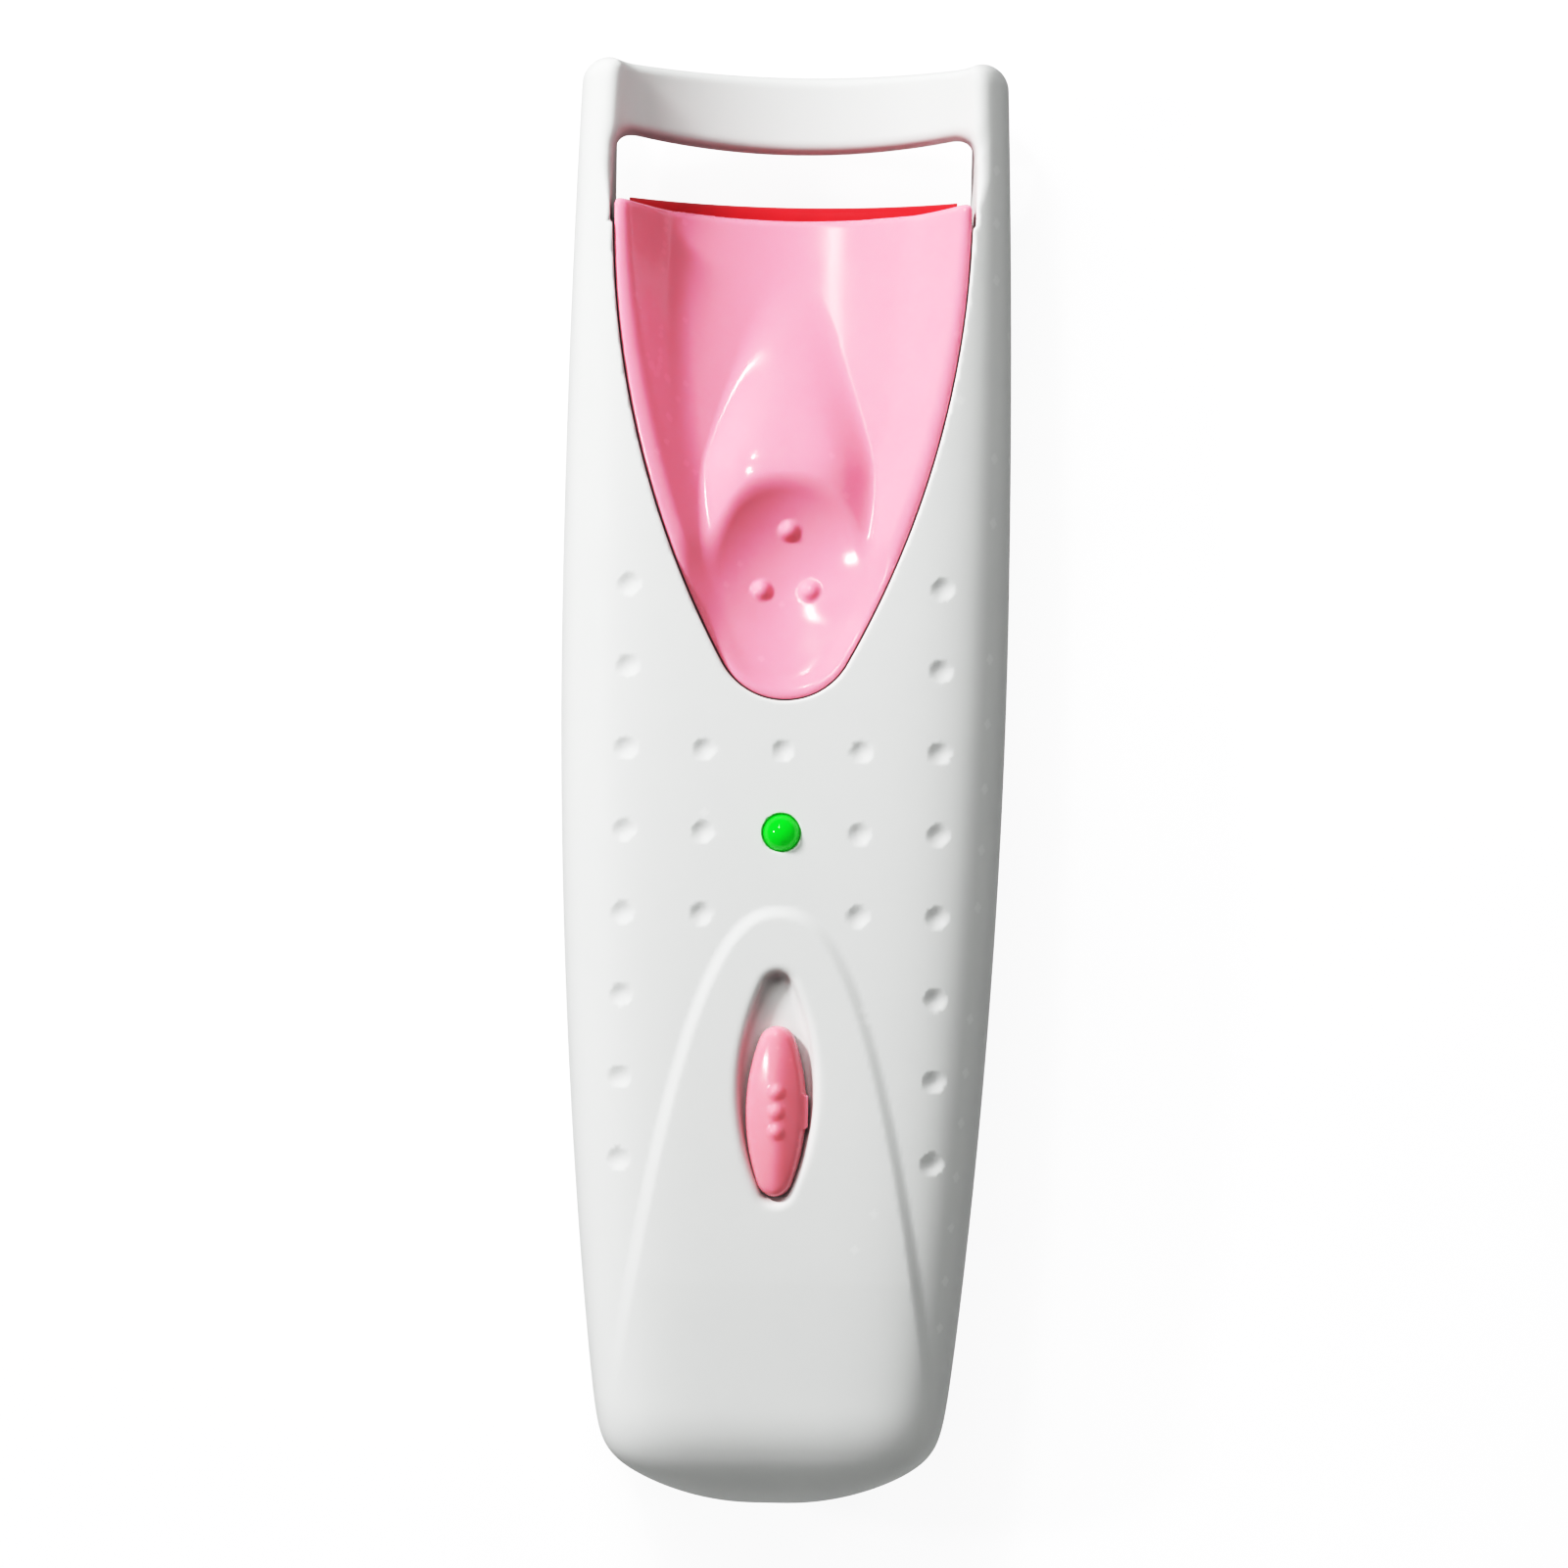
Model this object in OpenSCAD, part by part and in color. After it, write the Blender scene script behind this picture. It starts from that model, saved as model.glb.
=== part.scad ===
// Heated eyelash curler: a hand-held body that lies on its back, front face up.
// X is the width, +Y points to the head with the curling bar, +Z is the front.
// The origin is the middle of the resting face's rectangle, at table level.

/* [Body] */
// Length from the tail to the top of the head
body_length = 118; // [116:1:120]
// Half the width at the widest section
body_half_width = 18.25; // [18:0.05:18.5]
// Front-to-back depth at the fullest section
body_depth = 21.8; // [21.6:0.1:22.2]
// Half-width lost between the widest section and the head
head_narrowing = 0.85; // [0.7:0.05:0.9]
// Half-width lost between the widest section and the tail
tail_narrowing = 4.8; // [4.4:0.1:5]
// Depth lost on the front between the fullest section and the head
head_front_drop = 4.2; // [4:0.1:4.4]
// Height of the back above the table at the head
head_lift = 5; // [4.6:0.1:5.2]
// Wall thickness of both shells
wall = 1.6; // [1.5:0.05:1.7]
// Height of the raised arch around the switch
arch_raise = 0.5; // [0.4:0.05:0.7]

/* [Curling head] */
// Radius of the curling arc that the bar and the pad share
arc_radius = 22; // [21.8:0.1:22.4]
// Height of the arc's lowest line above the table
arc_low_z = 10.4; // [10.2:0.1:10.6]
// Thickness of the bar, front to back
bar_thickness = 2.8; // [2.4:0.1:3]
// Height of the bar along the body
bar_height = 6.8; // [6.5:0.1:6.9]
// Free gap between the bar and the heat pad, with the slider down
lash_gap = 4.15; // [4.1:0.05:4.3]
// Distance that the slider closes
slider_travel = 4; // [3.6:0.05:4]
// Half the width of the opening between the head's two rails
rail_half_gap = 14.75; // [14.7:0.05:14.8]

/* [Thumb slider] */
// Half the width of the slider's top edge
slider_half_width = 14.5; // [14.4:0.05:14.5]
// Length of the slider's visible face
slider_length = 39.9; // [39.5:0.1:40.2]
// Radius of the slider's rounded lower tip
slider_tip_radius = 5.7; // [5.4:0.1:5.9]
// Gap between the slider and the shell around it
slider_clearance = 0.2; // [0.15:0.01:0.25]
// Radius of the thumb dish
dish_radius = 7.3; // [7:0.1:7.4]
// Depth of the thumb dish
dish_depth = 2.4; // [2:0.1:2.5]

/* [Switch] */
// Half the length of the almond recess
recess_half_length = 9.3; // [9.2:0.05:9.4]
// Half the width of the almond recess
recess_half_width = 3.1; // [3.05:0.05:3.2]
// Half the length of the switch knob
knob_half_length = 7; // [6.8:0.1:7]
// Distance that the switch knob travels
switch_travel = 3.8; // [3.4:0.1:3.8]

/* [Dimples] */
// Spacing of the dimples across the body
dimple_pitch_x = 6.3; // [6.2:0.1:6.4]
// Spacing of the dimples along the body
dimple_pitch_y = 6.6; // [6.5:0.1:6.7]
// Radius of one dimple
dimple_radius = 1.05; // [0.9:0.05:1.1]

/* [Battery] */
// Radius of an AAA cell
cell_radius = 5.15; // [5.05:0.05:5.2]
// Length of an AAA cell, over its terminal
cell_length = 44.5; // [44:0.1:44.5]

/* [Hidden] */

white = [0.93, 0.94, 0.93];
pink = [0.96, 0.62, 0.72];
steel = [0.75, 0.76, 0.78];

head_y = body_length / 2;
tail_y = -body_length / 2;
widest_y = 15;              // where the outline is widest
fullest_y = -20;            // where the front stands highest
split_z = 10;               // the plane in which the two shells meet
front_power = 4.5;          // squareness of the front half of a section
back_power = 4;             // squareness of the back half of a section
flat_sink = 0.6;            // how far the back's curve is cut away to make the flat
lift_start_y = 8;           // where the back starts to leave the table
tail_arc_radius = 23.5;     // plan radius of the tail's end
tail_blend = 12;            // how tightly the sides turn into the tail's end
tail_front_round = 9;       // length over which the front rounds off at the tail
tail_back_round = 5;        // length over which the back rounds off at the tail
tail_front_drop = 1.2;
corner_radius = 2;          // plan radius of the head's corners
head_edge = 1;              // rounding of the head's front and back edges
ring_points = 48;

arc_centre_z = arc_low_z + arc_radius;
bar_top_y = head_y - 0.35;
bar_low_y = bar_top_y - bar_height;
bar_edge_radius = 90;       // the bar's lower edge rises a little towards its ends
gap_corner_radius = 2.05;   // rounded upper corners of the opening
gap_corner_y = bar_low_y - 1.2;
pad_top_y = bar_low_y - lash_gap;
slider_top_y = pad_top_y - 1.05;
// the sides are arcs square to the top edge that run smoothly into the tip's arc
slider_side_radius = (pow(slider_half_width, 2) + pow(slider_length - slider_tip_radius, 2)
    - pow(slider_tip_radius, 2)) / (2 * (slider_half_width - slider_tip_radius));
slider_tip_y = slider_top_y - slider_length;
shell_end_y = slider_top_y - 0.25;
rim_width = 0.9;
rim_drop = 0.2;             // how far the slider's rim sits below the shell's face
sheet = 1.5;                // wall of the slider
ridge_drop = 0.9;           // ridge round the dish, below the rim
dish_h = 10.8;              // the dish's centre, from the slider's tip
nose_end_h = 19;            // the nose reaches its full height here
nose_start_h = 29.5;         // the nose rises from the trough here
nose_radius = 8;             // roundness of the nose across its length

first_row_y = 15.85;
led_y = first_row_y - 3 * dimple_pitch_y;
arch_top_y = -10.3;
recess_y = -24.4;
recess_depth = 1.6;
knob_y = recess_y - switch_travel / 2;

cell_x = 5.6;
cell_z = 7.1;
bay_low_y = -50.6;
bay_high_y = -1.6;
board_z = 13.6;
board_t = 1;
door_t = 1.6;
holder_z = door_t + 1.25;
door_half = 11.4;
door_top_y = 0.2;
boss_x = 14;
boss_y = 3.6;
tail_screw_y = -54.4;
ear_z = 12.2;
ear_t = 1.6;
spring_x = 8.5;
spring_z = 7.2;
spring_low_y = 21;
spring_high_y = 35;
wire_x = 2.6;
recess_floor_z = front_z(0, recess_y) + arch_raise - recess_depth;

// ---- the body's form ----

function signed_power(v, p) = sign(v) * pow(abs(v), p);
function round_off(s, p) = s >= 1 ? 1 : pow(1 - pow(1 - max(s, 0), p), 1 / p);

function side_half(y) = body_half_width - (y > widest_y
    ? head_narrowing * pow((y - widest_y) / (head_y - widest_y), 2)
    : tail_narrowing * pow((widest_y - y) / (widest_y - tail_y), 2));
function tail_half(y) = sqrt(max(0.01, pow(tail_arc_radius, 2)
    - pow(max(0, tail_arc_radius - (y - tail_y)), 2)));
function corner_loss(y, r) = y > head_y - r
    ? r - sqrt(max(0, r * r - pow(y - head_y + r, 2))) : 0;
function half_width(y) = pow(pow(side_half(y), -tail_blend)
    + max(0, pow(tail_half(y), -tail_blend) - pow(tail_arc_radius, -tail_blend)), -1 / tail_blend)
    - corner_loss(y, corner_radius);

function crown_z(y) = let (raw = body_depth - (y > fullest_y
        ? head_front_drop * pow((y - fullest_y) / (head_y - fullest_y), 2)
        : tail_front_drop * pow((fullest_y - y) / (fullest_y - tail_y), 2)))
    split_z + (raw - split_z) * round_off((y - tail_y) / tail_front_round, 2.4)
    - corner_loss(y, head_edge);
function floor_z(y) = let (raw = y > lift_start_y
        ? head_lift * pow((y - lift_start_y) / (head_y - lift_start_y), 2) : 0)
    split_z - (split_z - raw + flat_sink) * round_off((y - tail_y) / tail_back_round, 2.4)
    + corner_loss(y, head_edge);
function front_z(x, y) = split_z + (crown_z(y) - split_z)
    * pow(max(0, 1 - pow(min(1, abs(x) / half_width(y)), front_power)), 1 / front_power);

// How much of the arch's height is left at y: it sinks just under the surface at the tail
function raise_at(y, raise) = raise > 0 ? -0.06 + (raise + 0.06) * min(1, max(0, (y - tail_y - 5) / 14)) : 0;

// One closed ring of the body at y, moved inwards by inset and with its front raised
function ring(y, inset, raise) = [for (i = [0 : ring_points - 1])
    let (a = 360 * i / ring_points, c = cos(a), s = sin(a),
         p = s >= 0 ? front_power : back_power,
         w = max(0.1, half_width(y) - inset - (raise > 0 ? 0.06 : 0)),
         up = max(0.1, crown_z(y) + raise_at(y, raise) - inset - split_z),
         down = max(0.1, split_z - floor_z(y) - inset))
    [w * signed_power(c, 2 / p), y, split_z + (s >= 0 ? up : down) * signed_power(s, 2 / p)]];

// A closed solid through a list of rings that all have n points
module loft(rings) {
    n = len(rings[0]);
    last = len(rings) - 1;
    sides = [for (k = [0 : last - 1], i = [0 : n - 1], f = [0, 1])
        let (a = k * n + i, b = k * n + (i + 1) % n)
        f == 0 ? [a, b, b + n] : [a, b + n, a + n]];
    polyhedron(points = [for (r = rings) each r], faces = concat(
        sides, [[for (i = [n - 1 : -1 : 0]) i]], [[for (i = [0 : n - 1]) last * n + i]]));
}

tail_stations = [for (i = [0 : 6]) tail_y + 0.02 + 10 * (1 - cos(i * 15))];
head_stations = [head_y - 2, head_y - 1, head_y - 0.4, head_y - 0.1];

module body_solid(inset = 0, raise = 0) {
    intersection() {
        loft([for (y = concat(tail_stations, [for (y = [tail_y + 15 : 8 : head_y - 6]) y],
                              head_stations)) ring(y, inset, raise)]);
        translate([-50, -100, 0]) cube([100, 200, 50]);
    }
}

cavity_end_y = 36;
module body_cavity() {
    loft([for (y = concat([for (i = [1 : 6]) tail_y + wall + 10 * (1 - cos(i * 15))],
                          [for (y = [tail_y + 17 : 8 : cavity_end_y - 4]) y],
                          [cavity_end_y])) ring(y, wall, 0)]);
}

// ---- outlines in the front view ----

tip_tangent_h = slider_tip_radius * (1 - (slider_length - slider_tip_radius)
    / (slider_side_radius - slider_tip_radius));
function slider_half(h) = h < tip_tangent_h
    ? sqrt(max(0, pow(slider_tip_radius, 2) - pow(slider_tip_radius - h, 2)))
    : slider_half_width - slider_side_radius
      + sqrt(pow(slider_side_radius, 2) - pow(slider_length - h, 2));
slider_rows = concat([for (i = [0 : 5]) tip_tangent_h * pow(i / 5, 2)],
                     [for (i = [1 : 14]) tip_tangent_h + (slider_length - tip_tangent_h) * i / 14]);

module slider_outline(grow = 0) {
    offset(delta = grow) polygon(concat(
        [for (h = slider_rows) [slider_half(h), slider_tip_y + h]],
        [for (i = [len(slider_rows) - 1 : -1 : 1])
            [-slider_half(slider_rows[i]), slider_tip_y + slider_rows[i]]]));
}

// Half the width of an almond with rounded ends, at distance y from its middle
function almond_half(y, half_length, half_width, end_r) = let (
        l = half_length - end_r, w = half_width - end_r, r = (l * l + w * w) / (2 * w))
    abs(y) < l * (r + end_r) / r ? sqrt(pow(r + end_r, 2) - y * y) - r + w
                                 : sqrt(max(0, end_r * end_r - pow(abs(y) - l, 2)));
module almond(half_length, half_width, end_r) {
    side = [for (i = [1 : 39]) let (y = -half_length * cos(180 * i / 40))
        [almond_half(y, half_length, half_width, end_r), y]];
    polygon(concat([[0, -half_length]], side, [[0, half_length]],
                   [for (i = [38 : -1 : 0]) [-side[i][0], side[i][1]]]));
}

function arch_half(t) = 2.72 * pow(t, 0.425);
module arch_outline() {
    rows = [for (i = [0 : 14]) 46 * pow(i / 14, 2)];
    polygon(concat([for (t = rows) [arch_half(t), arch_top_y - t]],
                   [for (i = [14 : -1 : 1]) [-arch_half(rows[i]), arch_top_y - rows[i]]]));
}

// A band of the curling arc, r_in to r_out from the arc's axis, within half_x of the middle
module arc_band(r_in, r_out, y_low, y_high, half_x) {
    turn = asin(half_x / r_in) + 3;
    intersection() {
        translate([0, y_high, arc_centre_z]) rotate([90, 0, 0]) rotate([0, 0, 270 - turn])
            rotate_extrude(angle = 2 * turn, $fn = 96)
                translate([r_in, 0]) square([r_out - r_in, y_high - y_low]);
        translate([-half_x, y_low - 1, -5]) cube([2 * half_x, y_high - y_low + 2, arc_centre_z + 5]);
    }
}

// Everything within r of the arc's axis
module arc_core(r, y_low, y_high) {
    translate([0, y_high, arc_centre_z]) rotate([90, 0, 0]) cylinder(r = r, h = y_high - y_low, $fn = 120);
}

// ---- shells ----

dimple_sites = concat(
    [for (row = [0 : 7], side = [-2, 2]) [side * dimple_pitch_x, first_row_y - row * dimple_pitch_y]],
    [for (row = [2 : 4], side = [-1, 1]) [side * dimple_pitch_x, first_row_y - row * dimple_pitch_y]],
    [[0, first_row_y - 2 * dimple_pitch_y]]);

module dimple() {
    hull() {
        cylinder(r = dimple_radius, h = 0.6, $fn = 14);
        translate([0, 0, -0.35]) cylinder(r = dimple_radius * 0.5, h = 0.6, $fn = 14);
    }
}

module front_walls() {
    intersection() {
        body_solid();
        union() {
            translate([-50, -100, split_z]) cube([100, 200, 50]);
            translate([-50, shell_end_y + 0.2, 0]) cube([100, 50, 50]);
        }
    }
    intersection() {
        body_solid(raise = arch_raise);
        translate([0, 0, split_z]) linear_extrude(30) arch_outline();
    }
}

module curling_bar() intersection() {
    body_solid();
    difference() {
        union() {
            intersection() {
                arc_band(arc_radius, arc_radius + bar_thickness, bar_low_y, bar_top_y, 16.2);
                translate([0, bar_low_y + bar_edge_radius, 0]) cylinder(r = bar_edge_radius, h = 30, $fn = 240);
            }
            difference() {
                arc_band(arc_radius, arc_radius + bar_thickness, gap_corner_y, bar_top_y, 16.2);
                translate([gap_corner_radius - rail_half_gap, 0, 0])
                    cube([2 * (rail_half_gap - gap_corner_radius), 100, 50]);
            }
        }
        for (side = [-1, 1]) translate([side * (rail_half_gap - gap_corner_radius), gap_corner_y, 0])
            cylinder(r = gap_corner_radius, h = 30, $fn = 48);
    }
}

module guide_rib(side, z_low, z_high, x_low) {
    translate([side > 0 ? x_low : -x_low - 2.9, 12, z_low]) cube([2.9, 22, z_high - z_low]);
}

module front_shell() color(white) {
    curling_bar();
    difference() {
        union() {
            difference() {
                front_walls();
                body_cavity();
            }
            intersection() {
                body_solid(inset = 0.3);
                union() {
                    for (side = [-1, 1]) {
                        translate([side * boss_x, boss_y, split_z]) cylinder(r = 2.3, h = 20, $fn = 24);
                        guide_rib(side, ear_z + ear_t + 0.2, 24, 13.6);
                    }
                    translate([0, tail_screw_y, split_z]) cylinder(r = 2.2, h = 20, $fn = 24);
                    translate([0, recess_y, recess_floor_z - 1.2]) linear_extrude(20)
                        almond(recess_half_length + 1.3, recess_half_width + 1.3, 2.5);
                }
            }
        }
        translate([0, 0, split_z - 1]) linear_extrude(30) slider_outline(slider_clearance);
        translate([-rail_half_gap, shell_end_y - 1, -1]) cube([2 * rail_half_gap, 20, 40]);
        translate([0, led_y, split_z]) cylinder(r = 1.62, h = 20, $fn = 40);
        translate([0, recess_y, recess_floor_z]) linear_extrude(20)
            almond(recess_half_length, recess_half_width, 1.2);
        translate([-1.1, recess_y - 4.3, split_z]) cube([2.2, 8.6, 20]);
        for (side = [-1, 1]) translate([side * boss_x, boss_y, 0]) cylinder(r = 1.1, h = 17, $fn = 24);
        translate([0, tail_screw_y, 0]) cylinder(r = 1.1, h = 15, $fn = 24);
        for (site = dimple_sites) translate([site[0], site[1], front_z(site[0], site[1])]) dimple();
    }
}

module back_walls() {
    difference() {
        intersection() {
            body_solid();
            translate([-50, -100, -1]) cube([100, 100 + shell_end_y, split_z + 1]);
        }
        body_cavity();
        // room under the slider's head, closed at the end by a wall
        translate([-13.2, 20, 0]) intersection() {
            cube([26.4, shell_end_y - 20 - wall, 40]);
            translate([13.2, -20, 0]) body_solid(inset = wall);
        }
        arc_core(arc_radius + 4.5, 30, 60);
    }
}

module spring_post(side) {
    translate([side * spring_x - 1.7, spring_high_y, 1.4]) cube([3.4, 1.8, 8.6]);
    translate([side * spring_x, spring_high_y + 0.5, spring_z]) rotate([90, 0, 0])
        cylinder(r = 1.2, h = 5.5, $fn = 24);
}

module back_shell() color(white) difference() {
    union() {
        back_walls();
        intersection() {
            body_solid(inset = 0.3);
            union() for (side = [-1, 1]) {
                guide_rib(side, 1, ear_z - 0.2, 13.6);
                translate([side * boss_x, boss_y, 0]) cylinder(r = 2.9, h = split_z - 0.05, $fn = 24);
                spring_post(side);
                // ledge above the door's tongue
                translate([side > 0 ? 11.2 : -14.2, bay_low_y, door_t + 0.15]) cube([3, 48, 1.1]);
            }
        }
        // tail wall behind the cells, with the tail screw's seat
        intersection() {
            body_solid(inset = 0.3);
            union() {
                translate([-13, bay_low_y - 2.2, door_t + 0.15]) cube([26, 1.1, split_z - door_t - 0.15]);
                translate([0, tail_screw_y, door_t + 0.15]) cylinder(r = 2.9, h = 5, $fn = 24);
            }
        }
    }
    // the door's way out, its tongue grooves and the bay's opening
    translate([-door_half - 0.15, tail_y - 5, -1]) cube([2 * door_half + 0.3, door_top_y - tail_y + 5.15, 1 + door_t + 0.1]);
    translate([-door_half - 1.15, tail_y - 5, door_t / 2 - 0.1])
        cube([2 * door_half + 2.3, door_top_y - tail_y + 5.15, door_t / 2 + 0.2]);
    translate([-11.2, bay_low_y - 1, -1]) cube([22.4, bay_high_y - bay_low_y + 1.5, 8]);
    for (side = [-1, 1]) translate([side * boss_x, boss_y, -1]) {
        cylinder(r = 1.2, h = 12, $fn = 24);
        cylinder(r = 2.1, h = 4, $fn = 32);
    }
    translate([0, tail_screw_y, 0]) {
        cylinder(r = 1.2, h = 12, $fn = 24);
        cylinder(r = 2.1, h = 4, $fn = 32);
    }
    for (row = [1 : 4], side = [-1, 1])
        translate([side * 1.5 * dimple_pitch_x, first_row_y + (row - 2) * dimple_pitch_y,
                   max(0, floor_z(first_row_y + (row - 2) * dimple_pitch_y))]) mirror([0, 0, 1]) dimple();
}

// One finger groove across the door
module groove(y, half_x) hull() for (side = [-1, 1], z = [-0.6, 0.1])
    translate([side * half_x, y, z]) cylinder(r = 0.35 - max(0, z), h = 0.4, $fn = 12);

module battery_door() color(white) difference() {
    intersection() {
        body_solid();
        union() {
            translate([-door_half, tail_y - 1, -1]) cube([2 * door_half, door_top_y - tail_y + 1, 1 + door_t]);
            translate([-door_half - 1, tail_y - 1, door_t / 2])
                cube([2 * door_half + 2, door_top_y - tail_y - 1, door_t / 2]);
        }
    }
    for (i = [0 : 7]) groove(door_top_y - 4 - 1.4 * i, 5.2 - 0.45 * i);
}

// ---- thumb slider ----

function smooth_max(a, b, k) = let (h = max(k - abs(a - b), 0) / k) max(a, b) + h * h * k / 4;
function smooth_min(a, b, k) = -smooth_max(-a, -b, k);
function rim_z(h) = front_z(slider_half(h), slider_tip_y + h) - rim_drop;
head_depth = rim_z(slider_length) - arc_low_z - 0.06;
function trough_depth(h) = 1 + (head_depth - 1) * h / slider_length;
function arc_rise(x) = arc_radius - sqrt(arc_radius * arc_radius - x * x);
function trough_z(x, h) = let (wall = max(1.5, 0.35 * slider_half(h)),
        s = min(1, max(0, (slider_half(h) - rim_width - abs(x)) / wall)))
    rim_z(h) - (trough_depth(h) - arc_rise(x)) * (1 - pow(1 - s, 2.4));
function nose_z(x, h) = let (t = (h - nose_end_h) / (nose_start_h - nose_end_h),
        s = (t + sqrt(t * t + 0.0225)) / 2)
    rim_z(h) - ridge_drop - s * (trough_depth(nose_start_h) - ridge_drop) - nose_fall(x, h);
// The nose is round across at its start and flatter across where it meets the dish
function nose_fall(x, h) = let (q = min(1, max(0, (nose_start_h - h) / (nose_start_h - nose_end_h))))
    x * x / (2 * nose_radius) * pow(x * x / (5.1 * max(0.5, nose_start_h - h)), q);
function sheet_at(h) = sheet + 1.2 * min(1, max(0, (h - slider_length + 5) / 2));
function dish_z(x, h) = rim_z(h) - ridge_drop - dish_depth
    + (x * x + pow(h - dish_h, 2)) * dish_depth / (dish_radius * dish_radius);
function slider_z(x, h) = smooth_min(smooth_max(trough_z(x, h), nose_z(x, h), 1.4), dish_z(x, h), 0.9);

module slider_sheet() {
    rows = [for (i = [0 : 26]) 0.4 + (slider_length - 0.8) * pow(i / 26, 1.2)];
    columns = 24;
    function across(j) = 0.7 * sin(180 * j / columns - 90) + 0.3 * (2 * j / columns - 1);
    function row_ring(h) = let (w = slider_half(h) - 0.1, y = slider_tip_y + h) concat(
        [for (j = [0 : columns]) [w * across(j), y, slider_z(w * across(j), h)]],
        [for (j = [columns : -1 : 0]) [w * across(j), y, slider_z(w * across(j), h) - sheet_at(h)]]);
    loft([for (i = [len(rows) - 1 : -1 : 0]) row_ring(rows[i])]);
}

module guide_ear(side, y) {
    hull() for (x = [8.6, 15.2], dy = [-1.2, 1.2])
        translate([side * (x + (x < 10 ? (y - 19) * 0.28 : 0)), y + dy, ear_z]) cylinder(r = 0.8, h = ear_t, $fn = 16);
}

module spring_lug(side) {
    hull() for (z = [spring_z - 1.4, ear_z], dx = [-1, 1])
        translate([side * (spring_x + 0.2) + dx, spring_low_y - 1, z]) cube([1.4, 2, 0.8], center = true);
    hull() for (z = [spring_z, ear_z + 1])
        translate([side * (spring_x + 0.2), spring_low_y - 2.2, z]) cube([1, 2.4, 0.8], center = true);
}

module press_slider() color(pink) difference() {
    slider_parts();
    // groove for the heater plate and the pad
    arc_band(arc_radius + 0.8, arc_radius + 3.4, slider_top_y - 2.6, slider_top_y + 1, 13.5);
    translate([-3.6, slider_top_y - 5, arc_low_z - 3.1]) cube([7.2, 4, 2]);
}

module slider_parts() {
    slider_sheet();
    // rim wall round the outline, flush with the shell's face
    intersection() {
        difference() {
            translate([0, 0, ear_z]) linear_extrude(20) slider_outline();
            translate([0, 0, ear_z - 1]) linear_extrude(22) offset(delta = -1.1) slider_outline();
            arc_core(arc_radius - 0.1, slider_top_y - 1.5, 60);
        }
        body_solid(inset = rim_drop);
    }
    // corners that stand up beside the pad
    intersection() {
        for (side = [-1, 1]) translate([side > 0 ? 13.55 : -14.2, slider_top_y - 1, ear_z + 0.2])
            cube([0.65, 1.8, 10]);
        body_solid(inset = rim_drop + 0.1);
    }
    // head block that carries the pad
    arc_band(arc_radius, arc_radius + 4.2, slider_top_y - 3.6, slider_top_y - 0.05, 14.1);
    for (side = [-1, 1]) {
        for (y = [19, 27]) guide_ear(side, y);
        spring_lug(side);
    }
    for (site = [[0, 13.7], [-2, 8.7], [2, 8.7]])
        translate([site[0], slider_tip_y + site[1], slider_z(site[0], site[1]) - 0.55]) sphere(r = 1.05, $fn = 16);
}

module heat_pad() color([0.82, 0.1, 0.14])
    arc_band(arc_radius + 0.9, arc_radius + 3.3, slider_top_y - 1.95, pad_top_y, 13.4);

module heater_plate() color(steel)
    arc_band(arc_radius + 0.9, arc_radius + 3.3, slider_top_y - 2.55, slider_top_y - 1.95, 13.3);

module heating_element() color([0.9, 0.88, 0.82])
    translate([-3.4, slider_top_y - 4.6, arc_low_z - 2.95]) cube([6.8, 2, 1.7]);

// ---- springs, wires ----

// A round wire swept along points p; each ring is square to the run of the points
function unit(v) = v / norm(v);
function sweep_ring(p, i, r, n) = let (
        t = unit(p[min(i + 1, len(p) - 1)] - p[max(i - 1, 0)]),
        a = unit(cross(t, abs(t[0]) < 0.8 ? [1, 0, 0] : [0, 0, 1])), b = cross(t, a))
    [for (k = [0 : n - 1]) p[i] + r * (cos(360 * k / n) * a + sin(360 * k / n) * b)];
module sweep(p, r, n) {
    loft([for (i = [len(p) - 1 : -1 : 0]) sweep_ring(p, i, r, n)]);
}

function coil_points(turns, r_start, r_end, length, per_turn) = [for (i = [0 : turns * per_turn])
    let (s = i / (turns * per_turn), a = 360 * i / per_turn, r = r_start + (r_end - r_start) * s)
    [r * cos(a), length * s, r * sin(a)]];

module return_spring(side) color(steel)
    translate([side * spring_x, spring_low_y + 0.3, spring_z])
        sweep(coil_points(7, 2, 2, spring_high_y - spring_low_y - 0.6, 12), 0.22, 6);

// Route of one heater wire, from the heating element to the board
wire_route = [[0, 41.9, 8.15], [0, 41.2, 8], [0, 39.2, 6.9], [0, 36, 5.7], [0, 31, 5], [0, 26, 4.8], [0, 21, 5], [0, 16, 5.8],
              [0, 12, 7.4], [0, 8.5, 9.8], [0, 6.4, 12.2], [0, 5.6, 14], [0, 4.9, 15], [0, 3.8, 15.2], [0, 2, 15.1]];
module heater_wires() color([0.7, 0.1, 0.1])
    for (side = [-1, 1]) translate([side * wire_x, 0, 0]) sweep(wire_route, 0.5, 8);

// ---- battery bay ----

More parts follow.
